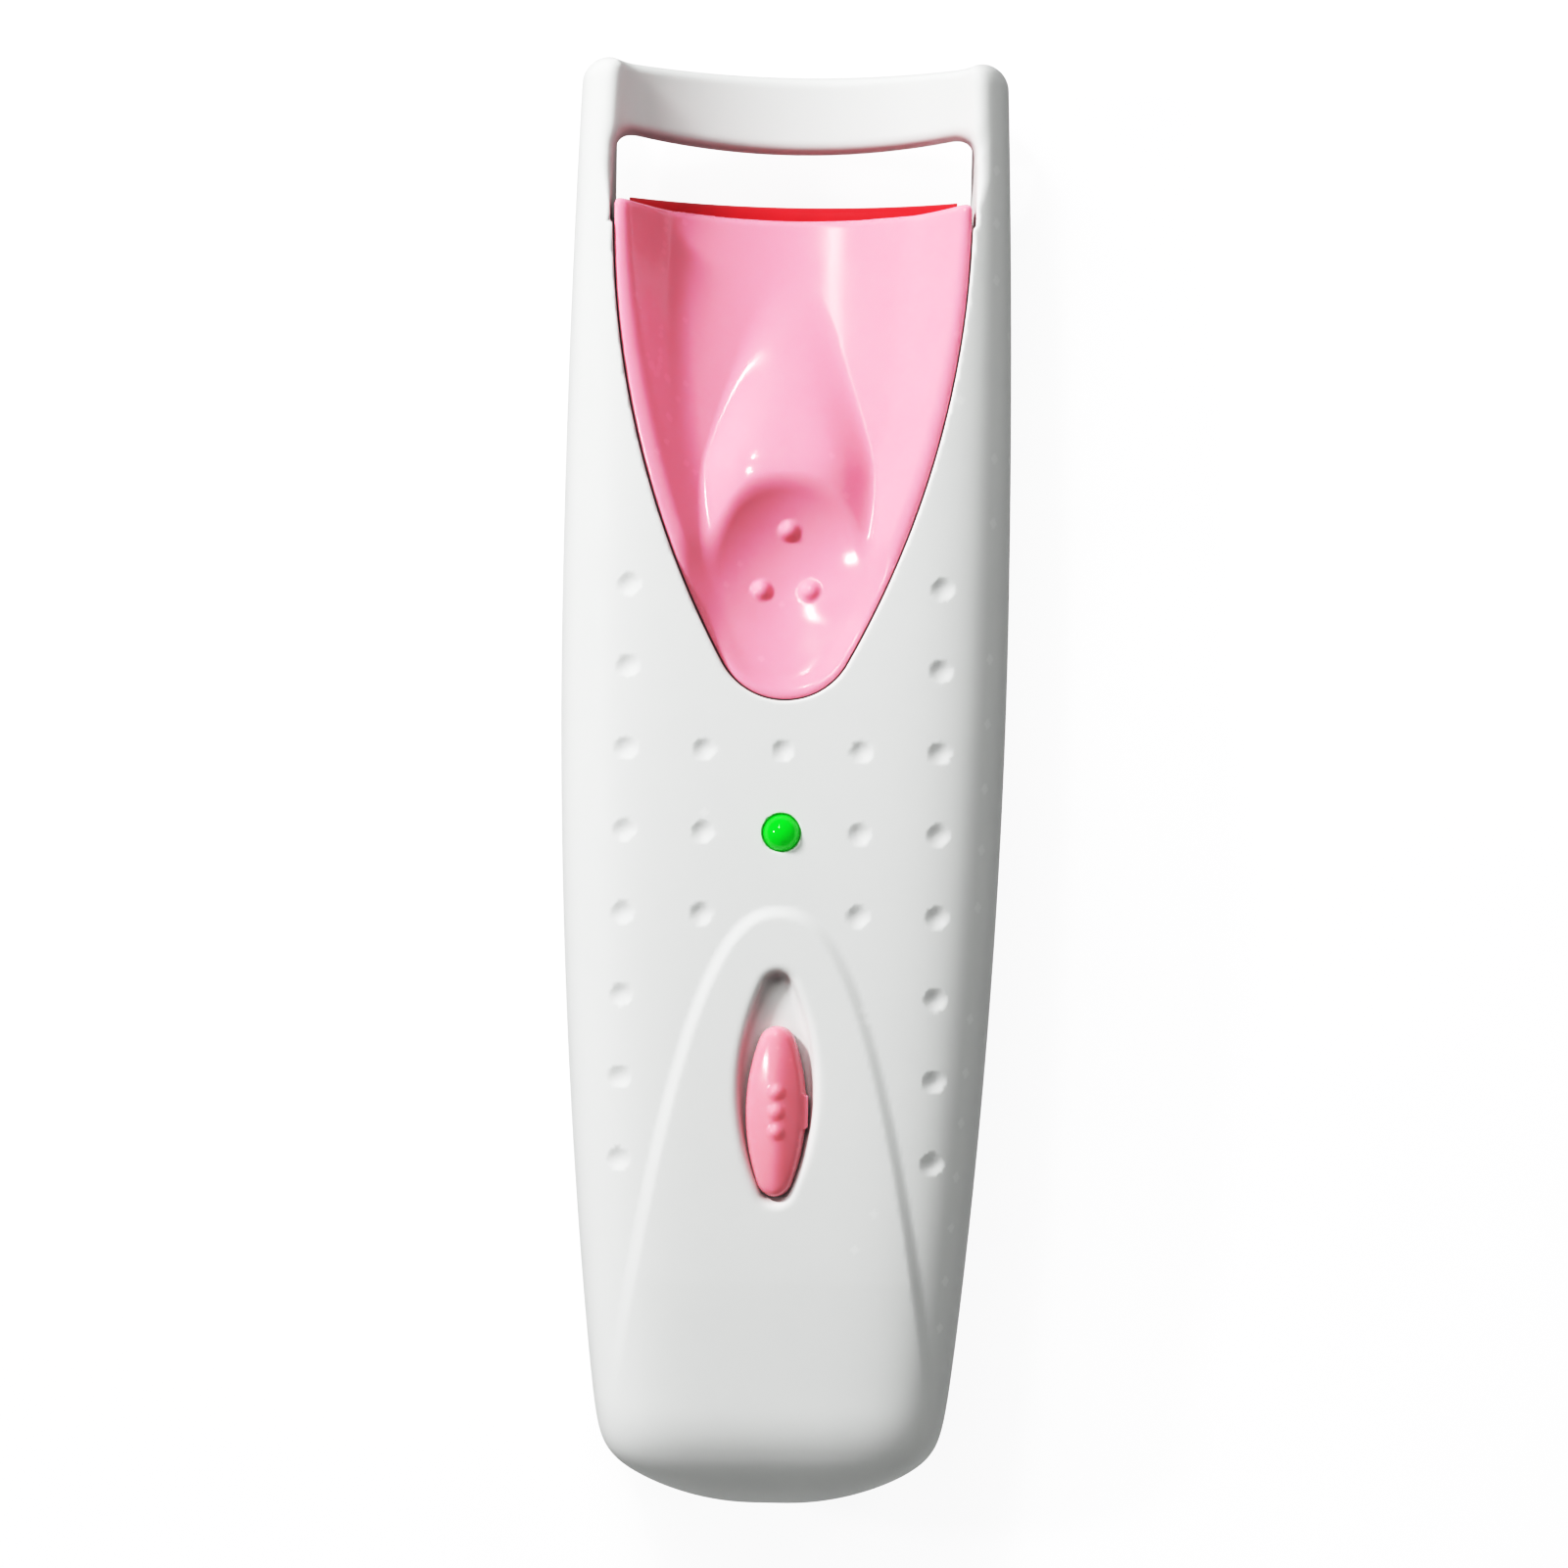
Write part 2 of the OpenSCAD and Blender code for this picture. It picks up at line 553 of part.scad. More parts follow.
module battery_holder() color([0.9, 0.9, 0.86]) difference() {
    translate([-11.9, bay_low_y - 1, holder_z]) cube([23.8, bay_high_y - bay_low_y + 1.6, board_z - holder_z]);
    for (side = [-1, 1]) translate([side * cell_x, bay_low_y, cell_z]) rotate([-90, 0, 0])
        cylinder(r = 5.4, h = bay_high_y - bay_low_y);
    translate([-11, bay_low_y, 0]) cube([22, bay_high_y - bay_low_y, cell_z]);
    // slots for the contacts and their solder tabs
    translate([-9.8, bay_low_y, 2]) cube([19.6, 0.4, 9.3]);
    translate([-9.8, bay_high_y - 0.4, 2]) cube([19.6, 0.4, 9.3]);
    for (side = [-1, 1]) translate([side * cell_x - 1.6, bay_high_y - 0.6, 9]) cube([3.2, 0.6, 8]);
    // room for the board's solder joints
    translate([-2.1, led_y - 0.8, board_z - 0.9]) cube([4.2, 1.6, 2]);
    translate([-1, recess_y - 3.6, board_z - 0.6]) cube([2, 7.2, 2]);
    // corners cleared for the narrowing tail
    for (side = [-1, 1]) {
        translate([side > 0 ? 10.5 : -12.5, bay_low_y - 2, 2]) cube([2, 6, 1.6]);
        translate([side > 0 ? 11.05 : -13.05, bay_low_y - 2, 2]) cube([2, 8, 3.8]);
    }
    for (y = [-11, -35]) translate([0, y, 9]) cylinder(r = 0.8, h = 8);
}

// One cell along +Y from its flat end at the origin
module cell() {
    rotate([-90, 0, 0]) rotate_extrude() polygon([[0, 0], [4.2, 0], [4.2, 0.4], [cell_radius, 0.4],
        [cell_radius, cell_length - 1.4], [4.4, cell_length - 1.4], [4.4, cell_length - 1.1],
        [1.9, cell_length - 1.1], [1.9, cell_length], [0, cell_length]]);
}
module battery_left() color([0.2, 0.45, 0.3])
    translate([-cell_x, bay_high_y - 0.35 - cell_length, cell_z]) cell();
module battery_right() color([0.2, 0.45, 0.3])
    translate([cell_x, bay_low_y + 0.35 + cell_length, cell_z]) mirror([0, 1, 0]) cell();

spring_gap = bay_high_y - bay_low_y - cell_length - 0.7;
module contact_spring(x, y, way) {
    translate([x, y, cell_z]) scale([1, way, 1]) sweep(coil_points(3, 3.2, 1.8, spring_gap - 0.5, 12), 0.3, 6);
}
module contact_plate(x, y) {
    translate([x - 4, y, cell_z - 4]) cube([8, 0.3, 8]);
}
module solder_tab(x, y) {
    translate([x - 1.2, y, cell_z + 3.9]) cube([2.4, 0.3, board_z + board_t + 0.5 - cell_z - 3.9]);
}
module contact_positive() color(steel) {
    contact_plate(-cell_x, bay_high_y - 0.32);
    solder_tab(-cell_x, bay_high_y - 0.32);
}
module contact_negative() color(steel) {
    contact_plate(cell_x, bay_high_y - 0.32);
    solder_tab(cell_x, bay_high_y - 0.32);
    contact_spring(cell_x, bay_high_y - 0.5, -1);
}
module contact_bridge() color(steel) {
    translate([-cell_x - 4, bay_low_y + 0.02, cell_z - 4]) cube([2 * cell_x + 8, 0.3, 8]);
    contact_spring(-cell_x, bay_low_y + 0.5, 1);
}

// ---- circuit board ----

board_top_z = board_z + board_t;
module circuit_board() color([0.1, 0.35, 0.2]) difference() {
    translate([-11.2, -38, board_z]) cube([22.4, 42.4, board_t]);
    for (y = [-11, -35]) translate([0, y, board_z - 1]) cylinder(r = 1.1, h = 3);
    for (side = [-1, 1]) translate([side * cell_x - 1.5, bay_high_y - 0.6, board_z - 1]) cube([3, 0.9, 3]);
    for (side = [-1, 1]) translate([side * 1.27, led_y, board_z - 1]) cylinder(r = 0.4, h = 3);
}
module board_resistors() color([0.12, 0.12, 0.12])
    for (site = [[6.5, -8], [6.5, -11], [-6.5, -8], [7.5, 1.5]])
        translate([site[0] - 1.6, site[1] - 0.8, board_top_z]) cube([3.2, 1.6, 0.6]);
module board_transistor() color([0.15, 0.15, 0.16]) {
    translate([-8.9, -13.2, board_top_z]) cube([4.6, 2.6, 1.5]);
    for (i = [-1 : 1]) translate([-6.6 + 1.5 * i - 0.25, -14.4, board_top_z]) cube([0.5, 1.2, 0.3]);
}

led_base_z = front_z(0, led_y) + 0.95 - 5.3;
module status_led() color([0.1, 0.75, 0.2]) translate([0, led_y, led_base_z]) rotate_extrude()
    union() {
        square([1.9, 1]);
        square([1.5, 3.8]);
        intersection() {
            translate([0, 3.8]) circle(r = 1.5);
            translate([0, 3]) square([2, 3]);
        }
    }
module led_leads() color(steel) for (side = [-1, 1])
    translate([side * 1.27, led_y, board_z - 0.6]) cylinder(r = 0.25, h = led_base_z - board_z + 0.6);

housing_half = [6.4, 3.3];
housing_t = 4;
module switch_housing() color(steel) difference() {
    translate([-housing_half[1], recess_y - housing_half[0], board_top_z])
        cube([2 * housing_half[1], 2 * housing_half[0], housing_t]);
    translate([-1.4, recess_y - 4.5, board_top_z + 1]) cube([2.8, 9, housing_t]);
}
module switch_terminals() color(steel) for (i = [-1 : 1])
    translate([-0.3, recess_y + 2.5 * i - 0.4, board_z - 0.02]) mirror([0, 0, 1]) cube([0.6, 0.8, 0.15]);
module switch_actuator() color([0.1, 0.1, 0.1]) translate([0, knob_y, 0]) {
    translate([-1.2, -1.6, board_top_z + 1.1]) cube([2.4, 3.2, 2.4]);
    translate([-0.5, -1, board_top_z + 3.5]) cube([1, 2, 1.8]);
}

knob_low_z = recess_floor_z + 0.15;
knob_high = 2.2;
function knob_half(s) = almond_half(s * knob_half_length, knob_half_length, 2.45, 1.1);
module switch_knob() color(pink) {
    translate([0, knob_y, knob_low_z]) difference() {
        union() {
            loft([for (i = [0 : 16]) let (s = (i - 8) / 8 * 0.995, w = max(0.12, knob_half(s)),
                                          top = 0.5 + (knob_high - 0.5) * pow(1 - pow(abs(s), 3), 0.5))
                concat([for (j = [0 : 12]) let (u = cos(15 * j))
                           [w * u, knob_half_length * s, 0.5 + (top - 0.5) * (1 - pow(abs(u), 2.2))]],
                       [[-w, knob_half_length * s, 0], [w, knob_half_length * s, 0]])]);
            translate([-0.9, -1.9, -2.6]) cube([1.8, 3.8, 3.2]);
            translate([2.1, -1.3, 0]) cube([0.5, 2.6, 0.7]);
            for (i = [-1 : 1]) translate([0, 1.7 * i, knob_high - 0.35]) sphere(r = 0.6, $fn = 24);
        }
        translate([-0.52, -1.02, -3]) cube([1.04, 2.04, 2.2]);
    }
}

// ---- screws ----

// A screw standing on its head, head at z = 0
module screw(length, shaft, head, head_t) {
    difference() {
        cylinder(r = head, h = head_t);
        for (a = [0, 90]) rotate(a) translate([-head * 0.6, -0.2, -0.1]) cube([head * 1.2, 0.4, 0.55]);
    }
    translate([0, 0, head_t]) cylinder(r = shaft, h = length);
}
module shell_screws() color(steel) {
    for (side = [-1, 1]) translate([side * boss_x, boss_y, 1.7]) screw(12, 0.95, 1.8, 1.3);
    translate([0, tail_screw_y, 2.7]) screw(9, 0.95, 1.8, 1.3);
}
module board_screws() color(steel) for (y = [-11, -35])
    translate([0, y, board_top_z + 1.1]) mirror([0, 0, 1]) screw(4.2, 0.75, 1.8, 1.1);

front_shell();
back_shell();
battery_door();
press_slider();
heat_pad();
heater_plate();
heating_element();
heater_wires();
return_spring(-1);  // return_spring_left
return_spring(1);  // return_spring_right
battery_holder();
battery_left();
battery_right();
contact_positive();
contact_negative();
contact_bridge();
circuit_board();
board_resistors();
board_transistor();
status_led();
led_leads();
switch_housing();
switch_terminals();
switch_actuator();
switch_knob();
shell_screws();
board_screws();
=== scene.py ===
"""Heated eyelash curler, lying on its back on a pale table and seen from straight above.

The two shells, the battery door, the thumb slider, the switch knob and the heat pad are each written
as a signed distance field in millimetres, meshed by surface nets, and settled onto the field so that
every edge has its moulded radius. The lamp is turned, and springs and wires are swept tubes. The pieces
inside keep their CAD shapes and get materials. +X is the width, +Y points to the head, +Z is the front.
"""
import math

import bpy
import numpy as np
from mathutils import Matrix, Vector


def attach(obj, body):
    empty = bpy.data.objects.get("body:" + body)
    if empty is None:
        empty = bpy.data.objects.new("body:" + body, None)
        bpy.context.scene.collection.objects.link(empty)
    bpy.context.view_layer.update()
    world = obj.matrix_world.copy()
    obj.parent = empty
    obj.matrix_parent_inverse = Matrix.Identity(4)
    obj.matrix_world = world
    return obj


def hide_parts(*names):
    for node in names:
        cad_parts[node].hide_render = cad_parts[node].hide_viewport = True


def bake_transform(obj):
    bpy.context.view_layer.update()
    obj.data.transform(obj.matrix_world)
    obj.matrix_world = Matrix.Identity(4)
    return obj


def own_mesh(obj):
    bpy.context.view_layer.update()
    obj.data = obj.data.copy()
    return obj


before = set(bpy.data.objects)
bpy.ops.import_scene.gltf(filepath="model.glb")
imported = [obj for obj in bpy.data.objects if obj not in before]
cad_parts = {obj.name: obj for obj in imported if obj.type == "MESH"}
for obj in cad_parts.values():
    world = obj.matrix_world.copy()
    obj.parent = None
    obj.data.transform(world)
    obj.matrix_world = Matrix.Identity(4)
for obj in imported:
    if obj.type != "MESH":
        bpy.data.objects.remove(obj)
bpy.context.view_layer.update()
MM = 0.001

# ---------------------------------------------------------------- sizes, in mm, as in the CAD model

HEAD_Y, TAIL_Y = 59.0, -59.0
BODY_HALF_WIDTH, BODY_DEPTH, WALL = 18.24, 21.8, 1.6
HEAD_NARROWING, TAIL_NARROWING, HEAD_FRONT_DROP, HEAD_LIFT = 0.85, 4.8, 4.2, 5.0
ARCH_RAISE, ARCH_TOP_Y = 0.5, -10.3
WIDEST_Y, FULLEST_Y, SPLIT_Z = 15.0, -20.0, 10.0
FRONT_POWER, BACK_POWER, FLAT_SINK, LIFT_START_Y = 4.5, 4.0, 0.6, 8.0
TAIL_ARC, TAIL_BLEND, TAIL_FRONT_ROUND, TAIL_BACK_ROUND, TAIL_FRONT_DROP = 23.5, 12.0, 9.0, 5.0, 1.2
CORNER_RADIUS, HEAD_EDGE = 2.0, 1.0

ARC_RADIUS, ARC_LOW_Z = 22.0, 10.4
ARC_CENTRE_Z = ARC_LOW_Z + ARC_RADIUS
BAR_THICKNESS, BAR_HEIGHT, BAR_EDGE_RADIUS, BAR_SAG = 2.8, 6.8, 90.0, 0.7
BAR_LOW_Y = HEAD_Y - 0.35 - BAR_HEIGHT
BAR_TOP_Y = HEAD_Y - 0.1
PAD_TOP_Y, PAD_SAG = BAR_LOW_Y - 4.15, 0.2
RAIL_HALF_GAP = 14.75

SLIDER_HALF_WIDTH, SLIDER_LENGTH, SLIDER_TIP_RADIUS, SLIDER_GAP = 14.5, 39.9, 5.7, 0.08
SLIDER_TOP_Y = PAD_TOP_Y - 1.05
SLIDER_TIP_Y = SLIDER_TOP_Y - SLIDER_LENGTH
SLIDER_SIDE_RADIUS = (SLIDER_HALF_WIDTH**2 + (SLIDER_LENGTH - SLIDER_TIP_RADIUS) ** 2
                      - SLIDER_TIP_RADIUS**2) / (2 * (SLIDER_HALF_WIDTH - SLIDER_TIP_RADIUS))
SHELL_END_Y = SLIDER_TOP_Y - 0.25
RIM_WIDTH, RIM_DROP, SHEET = 0.9, 0.2, 1.5
DISH_RADIUS, DISH_DEPTH, DISH_H, RIDGE_DROP = 7.3, 2.4, 10.8, 0.9
NOSE_END_H, NOSE_START_H, NOSE_RADIUS, LIP_DIP = 19.0, 29.5, 8.0, 0.4
EAR_Z = 12.2
GRIP_DOTS, GRIP_DOT_RADIUS, GRIP_DOT_SINK = ((0.2, 13.75), (-2.0, 8.75), (2.0, 8.75)), 0.86, 0.36

FIRST_ROW_Y, DIMPLE_PITCH_X, DIMPLE_PITCH_Y, DIMPLE_RADIUS = 15.85, 6.3, 6.6, 1.05
LED_Y = FIRST_ROW_Y - 3 * DIMPLE_PITCH_Y
LED_RADIUS, LED_FLANGE_RADIUS, LED_HOLE_RADIUS, LED_HEIGHT = 1.5, 1.9, 1.54, 5.3
RECESS_Y, RECESS_HALF_LENGTH, RECESS_HALF_WIDTH, RECESS_DEPTH = -24.4, 9.3, 3.1, 1.6
KNOB_HALF_LENGTH, KNOB_HALF_WIDTH, KNOB_HIGH, SWITCH_TRAVEL = 7.0, 2.45, 2.2, 3.8
KNOB_Y = RECESS_Y - SWITCH_TRAVEL / 2
KNOB_DOT_PITCH, KNOB_DOT_RADIUS, KNOB_DOT_SINK = 1.6, 0.6, 0.4

CELL_LENGTH = 44.5
BAY_LOW_Y, BAY_HIGH_Y = -50.6, -1.6
DOOR_T, DOOR_HALF, DOOR_TOP_Y = 1.6, 11.4, 0.2
BOSS_X, BOSS_Y, TAIL_SCREW_Y = 14.0, 3.6, -54.4
SCREW_SITES = ((-BOSS_X, BOSS_Y), (BOSS_X, BOSS_Y), (0, TAIL_SCREW_Y))
FRONT_POST_RADIUS, PILOT_RADIUS, PILOT_TOP_Z = 2.25, 1.1, 16
BACK_POST_RADIUS, HEAD_SEAT_RADIUS, SHANK_HOLE_RADIUS = 2.9, 2.1, 1.2
SPRING_X, SPRING_Z, SPRING_LOW_Y, SPRING_HIGH_Y = 8.5, 7.2, 21.0, 35.0
WIRE_X = 2.6

CELL = 0.29   # mesh spacing of the shells
FINE = 0.17   # mesh spacing of the small pieces


# ---------------------------------------------------------------- field arithmetic

def smooth_max(a, b, k):
    h = np.maximum(k - np.abs(a - b), 0) / k
    return np.maximum(a, b) + h * h * (k / 4)


def smooth_min(a, b, k):
    return -smooth_max(-a, -b, k)


def smooth_step(t):
    t = np.clip(t, 0, 1)
    return t * t * (3 - 2 * t)


def slab(value, low, high):
    return np.maximum(low - value, value - high)


def block(x, y, z, x_range, y_range, z_range):
    return np.maximum(np.maximum(slab(x, *x_range), slab(y, *y_range)), slab(z, *z_range))


def cylinder_z(x, y, centre, radius):
    return np.hypot(x - centre[0], y - centre[1]) - radius


# ---------------------------------------------------------------- the body's form

def side_half(y):
    above = HEAD_NARROWING * ((y - WIDEST_Y) / (HEAD_Y - WIDEST_Y)) ** 2
    below = TAIL_NARROWING * ((WIDEST_Y - y) / (WIDEST_Y - TAIL_Y)) ** 2
    return BODY_HALF_WIDTH - np.where(y > WIDEST_Y, above, below)


def corner_loss(y, radius):
    over = np.clip(y - HEAD_Y + radius, 0, radius)
    return radius - np.sqrt(radius * radius - over * over)


def half_width(y):
    tail = np.sqrt(np.maximum(0.01, TAIL_ARC**2 - np.maximum(0, TAIL_ARC - (y - TAIL_Y)) ** 2))
    tail_term = np.maximum(0, tail**-TAIL_BLEND - TAIL_ARC**-TAIL_BLEND)
    return (side_half(y)**-TAIL_BLEND + tail_term) ** (-1 / TAIL_BLEND) - corner_loss(y, CORNER_RADIUS)


def round_off(s):
    return np.maximum(0.02, 1 - (1 - np.clip(s, 0, 1)) ** 2.4) ** (1 / 2.4)


def front_height(y):
    above = HEAD_FRONT_DROP * ((y - FULLEST_Y) / (HEAD_Y - FULLEST_Y)) ** 2
    below = TAIL_FRONT_DROP * ((FULLEST_Y - y) / (FULLEST_Y - TAIL_Y)) ** 2
    raw = BODY_DEPTH - np.where(y > FULLEST_Y, above, below)
    return (raw - SPLIT_Z) * round_off((y - TAIL_Y) / TAIL_FRONT_ROUND) - corner_loss(y, HEAD_EDGE)


def back_depth(y):
    lift = HEAD_LIFT * (np.maximum(y - LIFT_START_Y, 0) / (HEAD_Y - LIFT_START_Y)) ** 2
    return ((SPLIT_Z - lift + FLAT_SINK) * round_off((y - TAIL_Y) / TAIL_BACK_ROUND)
            - corner_loss(y, HEAD_EDGE))


def front_z(x, y):
    share = np.minimum(1, np.abs(x) / half_width(y)) ** FRONT_POWER
    return SPLIT_Z + front_height(y) * np.maximum(0, 1 - share) ** (1 / FRONT_POWER)


def slope_of(profile, y):
    return (profile(y + 0.02) - profile(y - 0.02)) / 0.04


def body_field(x, y, z, relief=0.0):
    """Distance to the curler's outer form; relief lifts its front face by that much at (x, y)."""
    # the tail's last 0.05 mm is cut off square, where the outline's slope would run to infinity
    ends = slab(y, TAIL_Y + 0.05, HEAD_Y - 0.1)
    y = np.maximum(y, TAIL_Y + 0.05)
    rise = z - SPLIT_Z
    front = rise >= 0
    rise = rise - relief * np.clip(rise / 4, 0, 1)
    w, up, down = half_width(y), front_height(y), back_depth(y)
    power = np.where(front, FRONT_POWER, BACK_POWER)
    height = np.where(front, up, down)
    height_slope = np.where(front, slope_of(front_height, y), slope_of(back_depth, y))
    across = np.abs(x) / w
    across_term = np.where(front, across**FRONT_POWER, across**BACK_POWER)
    along = np.abs(rise) / height
    along_term = np.maximum(along, 1e-4) ** power
    total = np.maximum(across_term + along_term, 1e-6)
    root = total ** (1 / power)
    share = root / total
    gx = share * across_term / (np.maximum(across, 1e-3) * w)
    gy = share * (across_term * slope_of(half_width, y) / w + along_term * height_slope / height)
    gz = share * along_term / (np.maximum(along, 1e-3) * height)
    distance = (root - 1) / np.sqrt(gx * gx + gy * gy + gz * gz + 1e-9)
    # the back is cut flat where it rests on the table
    return smooth_max(np.maximum(distance, ends), -z, 0.5)


# ---------------------------------------------------------------- outlines in the front view

def slider_outline(x, y):
    """Distance to the slider's shield: two long arcs that run into a round tip."""
    x, h = np.abs(x), y - SLIDER_TIP_Y
    shift, drop = SLIDER_SIDE_RADIUS - SLIDER_HALF_WIDTH, SLIDER_LENGTH - SLIDER_TIP_RADIUS
    run = math.hypot(shift, drop)
    side = np.hypot(x + shift, h - SLIDER_LENGTH) - SLIDER_SIDE_RADIUS
    tip = np.hypot(x, h - SLIDER_TIP_RADIUS) - SLIDER_TIP_RADIUS
    beside = (shift * (h - SLIDER_TIP_RADIUS) + drop * x) / run > 0
    return np.where(beside, side, tip)


def slider_half(h):
    tangent_h = SLIDER_TIP_RADIUS * (1 - (SLIDER_LENGTH - SLIDER_TIP_RADIUS)
                                     / (SLIDER_SIDE_RADIUS - SLIDER_TIP_RADIUS))
    tip = np.sqrt(np.maximum(0, SLIDER_TIP_RADIUS**2 - (SLIDER_TIP_RADIUS - h) ** 2))
    side = (SLIDER_HALF_WIDTH - SLIDER_SIDE_RADIUS
            + np.sqrt(SLIDER_SIDE_RADIUS**2 - (SLIDER_LENGTH - h) ** 2))
    return np.where(h < tangent_h, tip, side)


def almond(x, y, half_length, half_width_, end_radius):
    """Distance to an almond with rounded ends, centred on the origin."""
    x, y = np.abs(x), np.abs(y)
    l, w = half_length - end_radius, half_width_ - end_radius
    r = (l * l + w * w) / (2 * w)
    side = np.hypot(x + r - w, y) - r - end_radius
    end = np.hypot(x, y - l) - end_radius
    beyond = (r - w) * (y - l) - l * x > 0
    return np.where(beyond, end, side)


def arch_relief(x, y):
    """Height of the pointed arch that frames the switch."""
    x = np.abs(x)
    curve = (x / 2.72) ** 2.353
    slope = 2.353 / 2.72 * (x / 2.72) ** 1.353
    edge = (curve - (ARCH_TOP_Y - y)) / np.sqrt(1 + slope * slope)
    fade = np.clip((y - TAIL_Y - 5) / 14, 0, 1)
    return 0.7 * ARCH_RAISE * smooth_step(0.5 - edge / 1.2) * fade


def dimple_sites():
    outer = [(side * 2 * DIMPLE_PITCH_X, FIRST_ROW_Y - row * DIMPLE_PITCH_Y)
             for row in range(8) for side in (-1, 1)]
    inner = [(side * DIMPLE_PITCH_X, FIRST_ROW_Y - row * DIMPLE_PITCH_Y)
             for row in range(2, 5) for side in (-1, 1)]
    return outer + inner + [(0, FIRST_ROW_Y - 2 * DIMPLE_PITCH_Y)]


def back_dimple_sites():
    return [(side * 1.5 * DIMPLE_PITCH_X, FIRST_ROW_Y + (row - 2) * DIMPLE_PITCH_Y)
            for row in range(1, 5) for side in (-1, 1)]


def pits(x, y, sites, depth=0.27):
    total = 0.0
    for sx, sy in sites:
        away = ((x - sx) ** 2 + (y - sy) ** 2) / (DIMPLE_RADIUS * 0.95) ** 2
        total = total - depth * np.maximum(0, 1 - away) ** 1.4
    return total


def front_relief(x, y):
    return arch_relief(x, y) + pits(x, y, dimple_sites())


def arc_distance(x, z):
    return np.hypot(x, z - ARC_CENTRE_Z) - ARC_RADIUS


RECESS_FLOOR_Z = float(front_z(np.array(0.0), np.array(RECESS_Y))) + ARCH_RAISE - RECESS_DEPTH


# ---------------------------------------------------------------- shells

def curling_bar(x, y, z):
    """The curved bar across the head, without its ends: the rails hold it."""
    thick = slab(arc_distance(x, z), 0, BAR_THICKNESS)
    edge = BAR_LOW_Y + x * x / (2 * BAR_EDGE_RADIUS)
    top = BAR_TOP_Y - BAR_SAG * (1 - (x / RAIL_HALF_GAP) ** 2)
    return np.maximum(smooth_max(thick, np.maximum(edge - y, y - top), 1.1), z - ARC_CENTRE_Z)


def front_shell(x, y, z):
    outer = body_field(x, y, z, front_relief(x, y))
    plain = body_field(x, y, z)
    solid = smooth_max(outer, -np.maximum(plain + WALL, y - 36), 0.3)
    boss = np.maximum(almond(x, y - RECESS_Y, RECESS_HALF_LENGTH + 1.3, RECESS_HALF_WIDTH + 1.3, 2.5),
                      np.maximum(RECESS_FLOOR_Z - 1.2 - z, outer + 0.3))
    solid = np.minimum(solid, boss)
    for site in SCREW_SITES:
        post = np.maximum(cylinder_z(x, y, site, FRONT_POST_RADIUS), outer + 0.3)
        bore = np.maximum(cylinder_z(x, y, site, PILOT_RADIUS), z - PILOT_TOP_Z)
        solid = np.minimum(solid, np.maximum(post, -bore))
    # everything behind the parting plane belongs to the back shell, except at the head
    solid = smooth_max(solid, -np.maximum(z - SPLIT_Z, y - SLIDER_TOP_Y), 0.22)
    shield = np.maximum(slider_outline(x, y) - SLIDER_GAP, np.maximum(SPLIT_Z - 1 - z, y - 50))
    # the head is open between the rails, apart from the bar, which runs into them in a fillet
    gap = smooth_max(np.abs(x) - RAIL_HALF_GAP, -curling_bar(x, y, z), 2.0)
    gap = np.maximum(gap, SHELL_END_Y - 1 - y)
    # the opening's edges are rounder than the line round the slider
    softness = 0.3 + 1.0 * smooth_step((y - SHELL_END_Y + 0.5) / 4)
    solid = smooth_max(solid, -smooth_min(shield, gap, 0.5), softness)
    lamp = np.maximum(np.hypot(x, y - LED_Y) - LED_HOLE_RADIUS, SPLIT_Z - z)
    solid = smooth_max(solid, -lamp, 0.15)
    hollow = almond(x, y - RECESS_Y, RECESS_HALF_LENGTH - 0.15, RECESS_HALF_WIDTH - 0.15, 1.2)
    hollow = smooth_max(hollow, RECESS_FLOOR_Z - z, 1.0)
    solid = smooth_max(solid, -hollow, 0.9)
    return np.maximum(solid, -block(x, y - RECESS_Y, z, (-1.0, 1.0), (-3.85, 3.85), (SPLIT_Z, 40)))


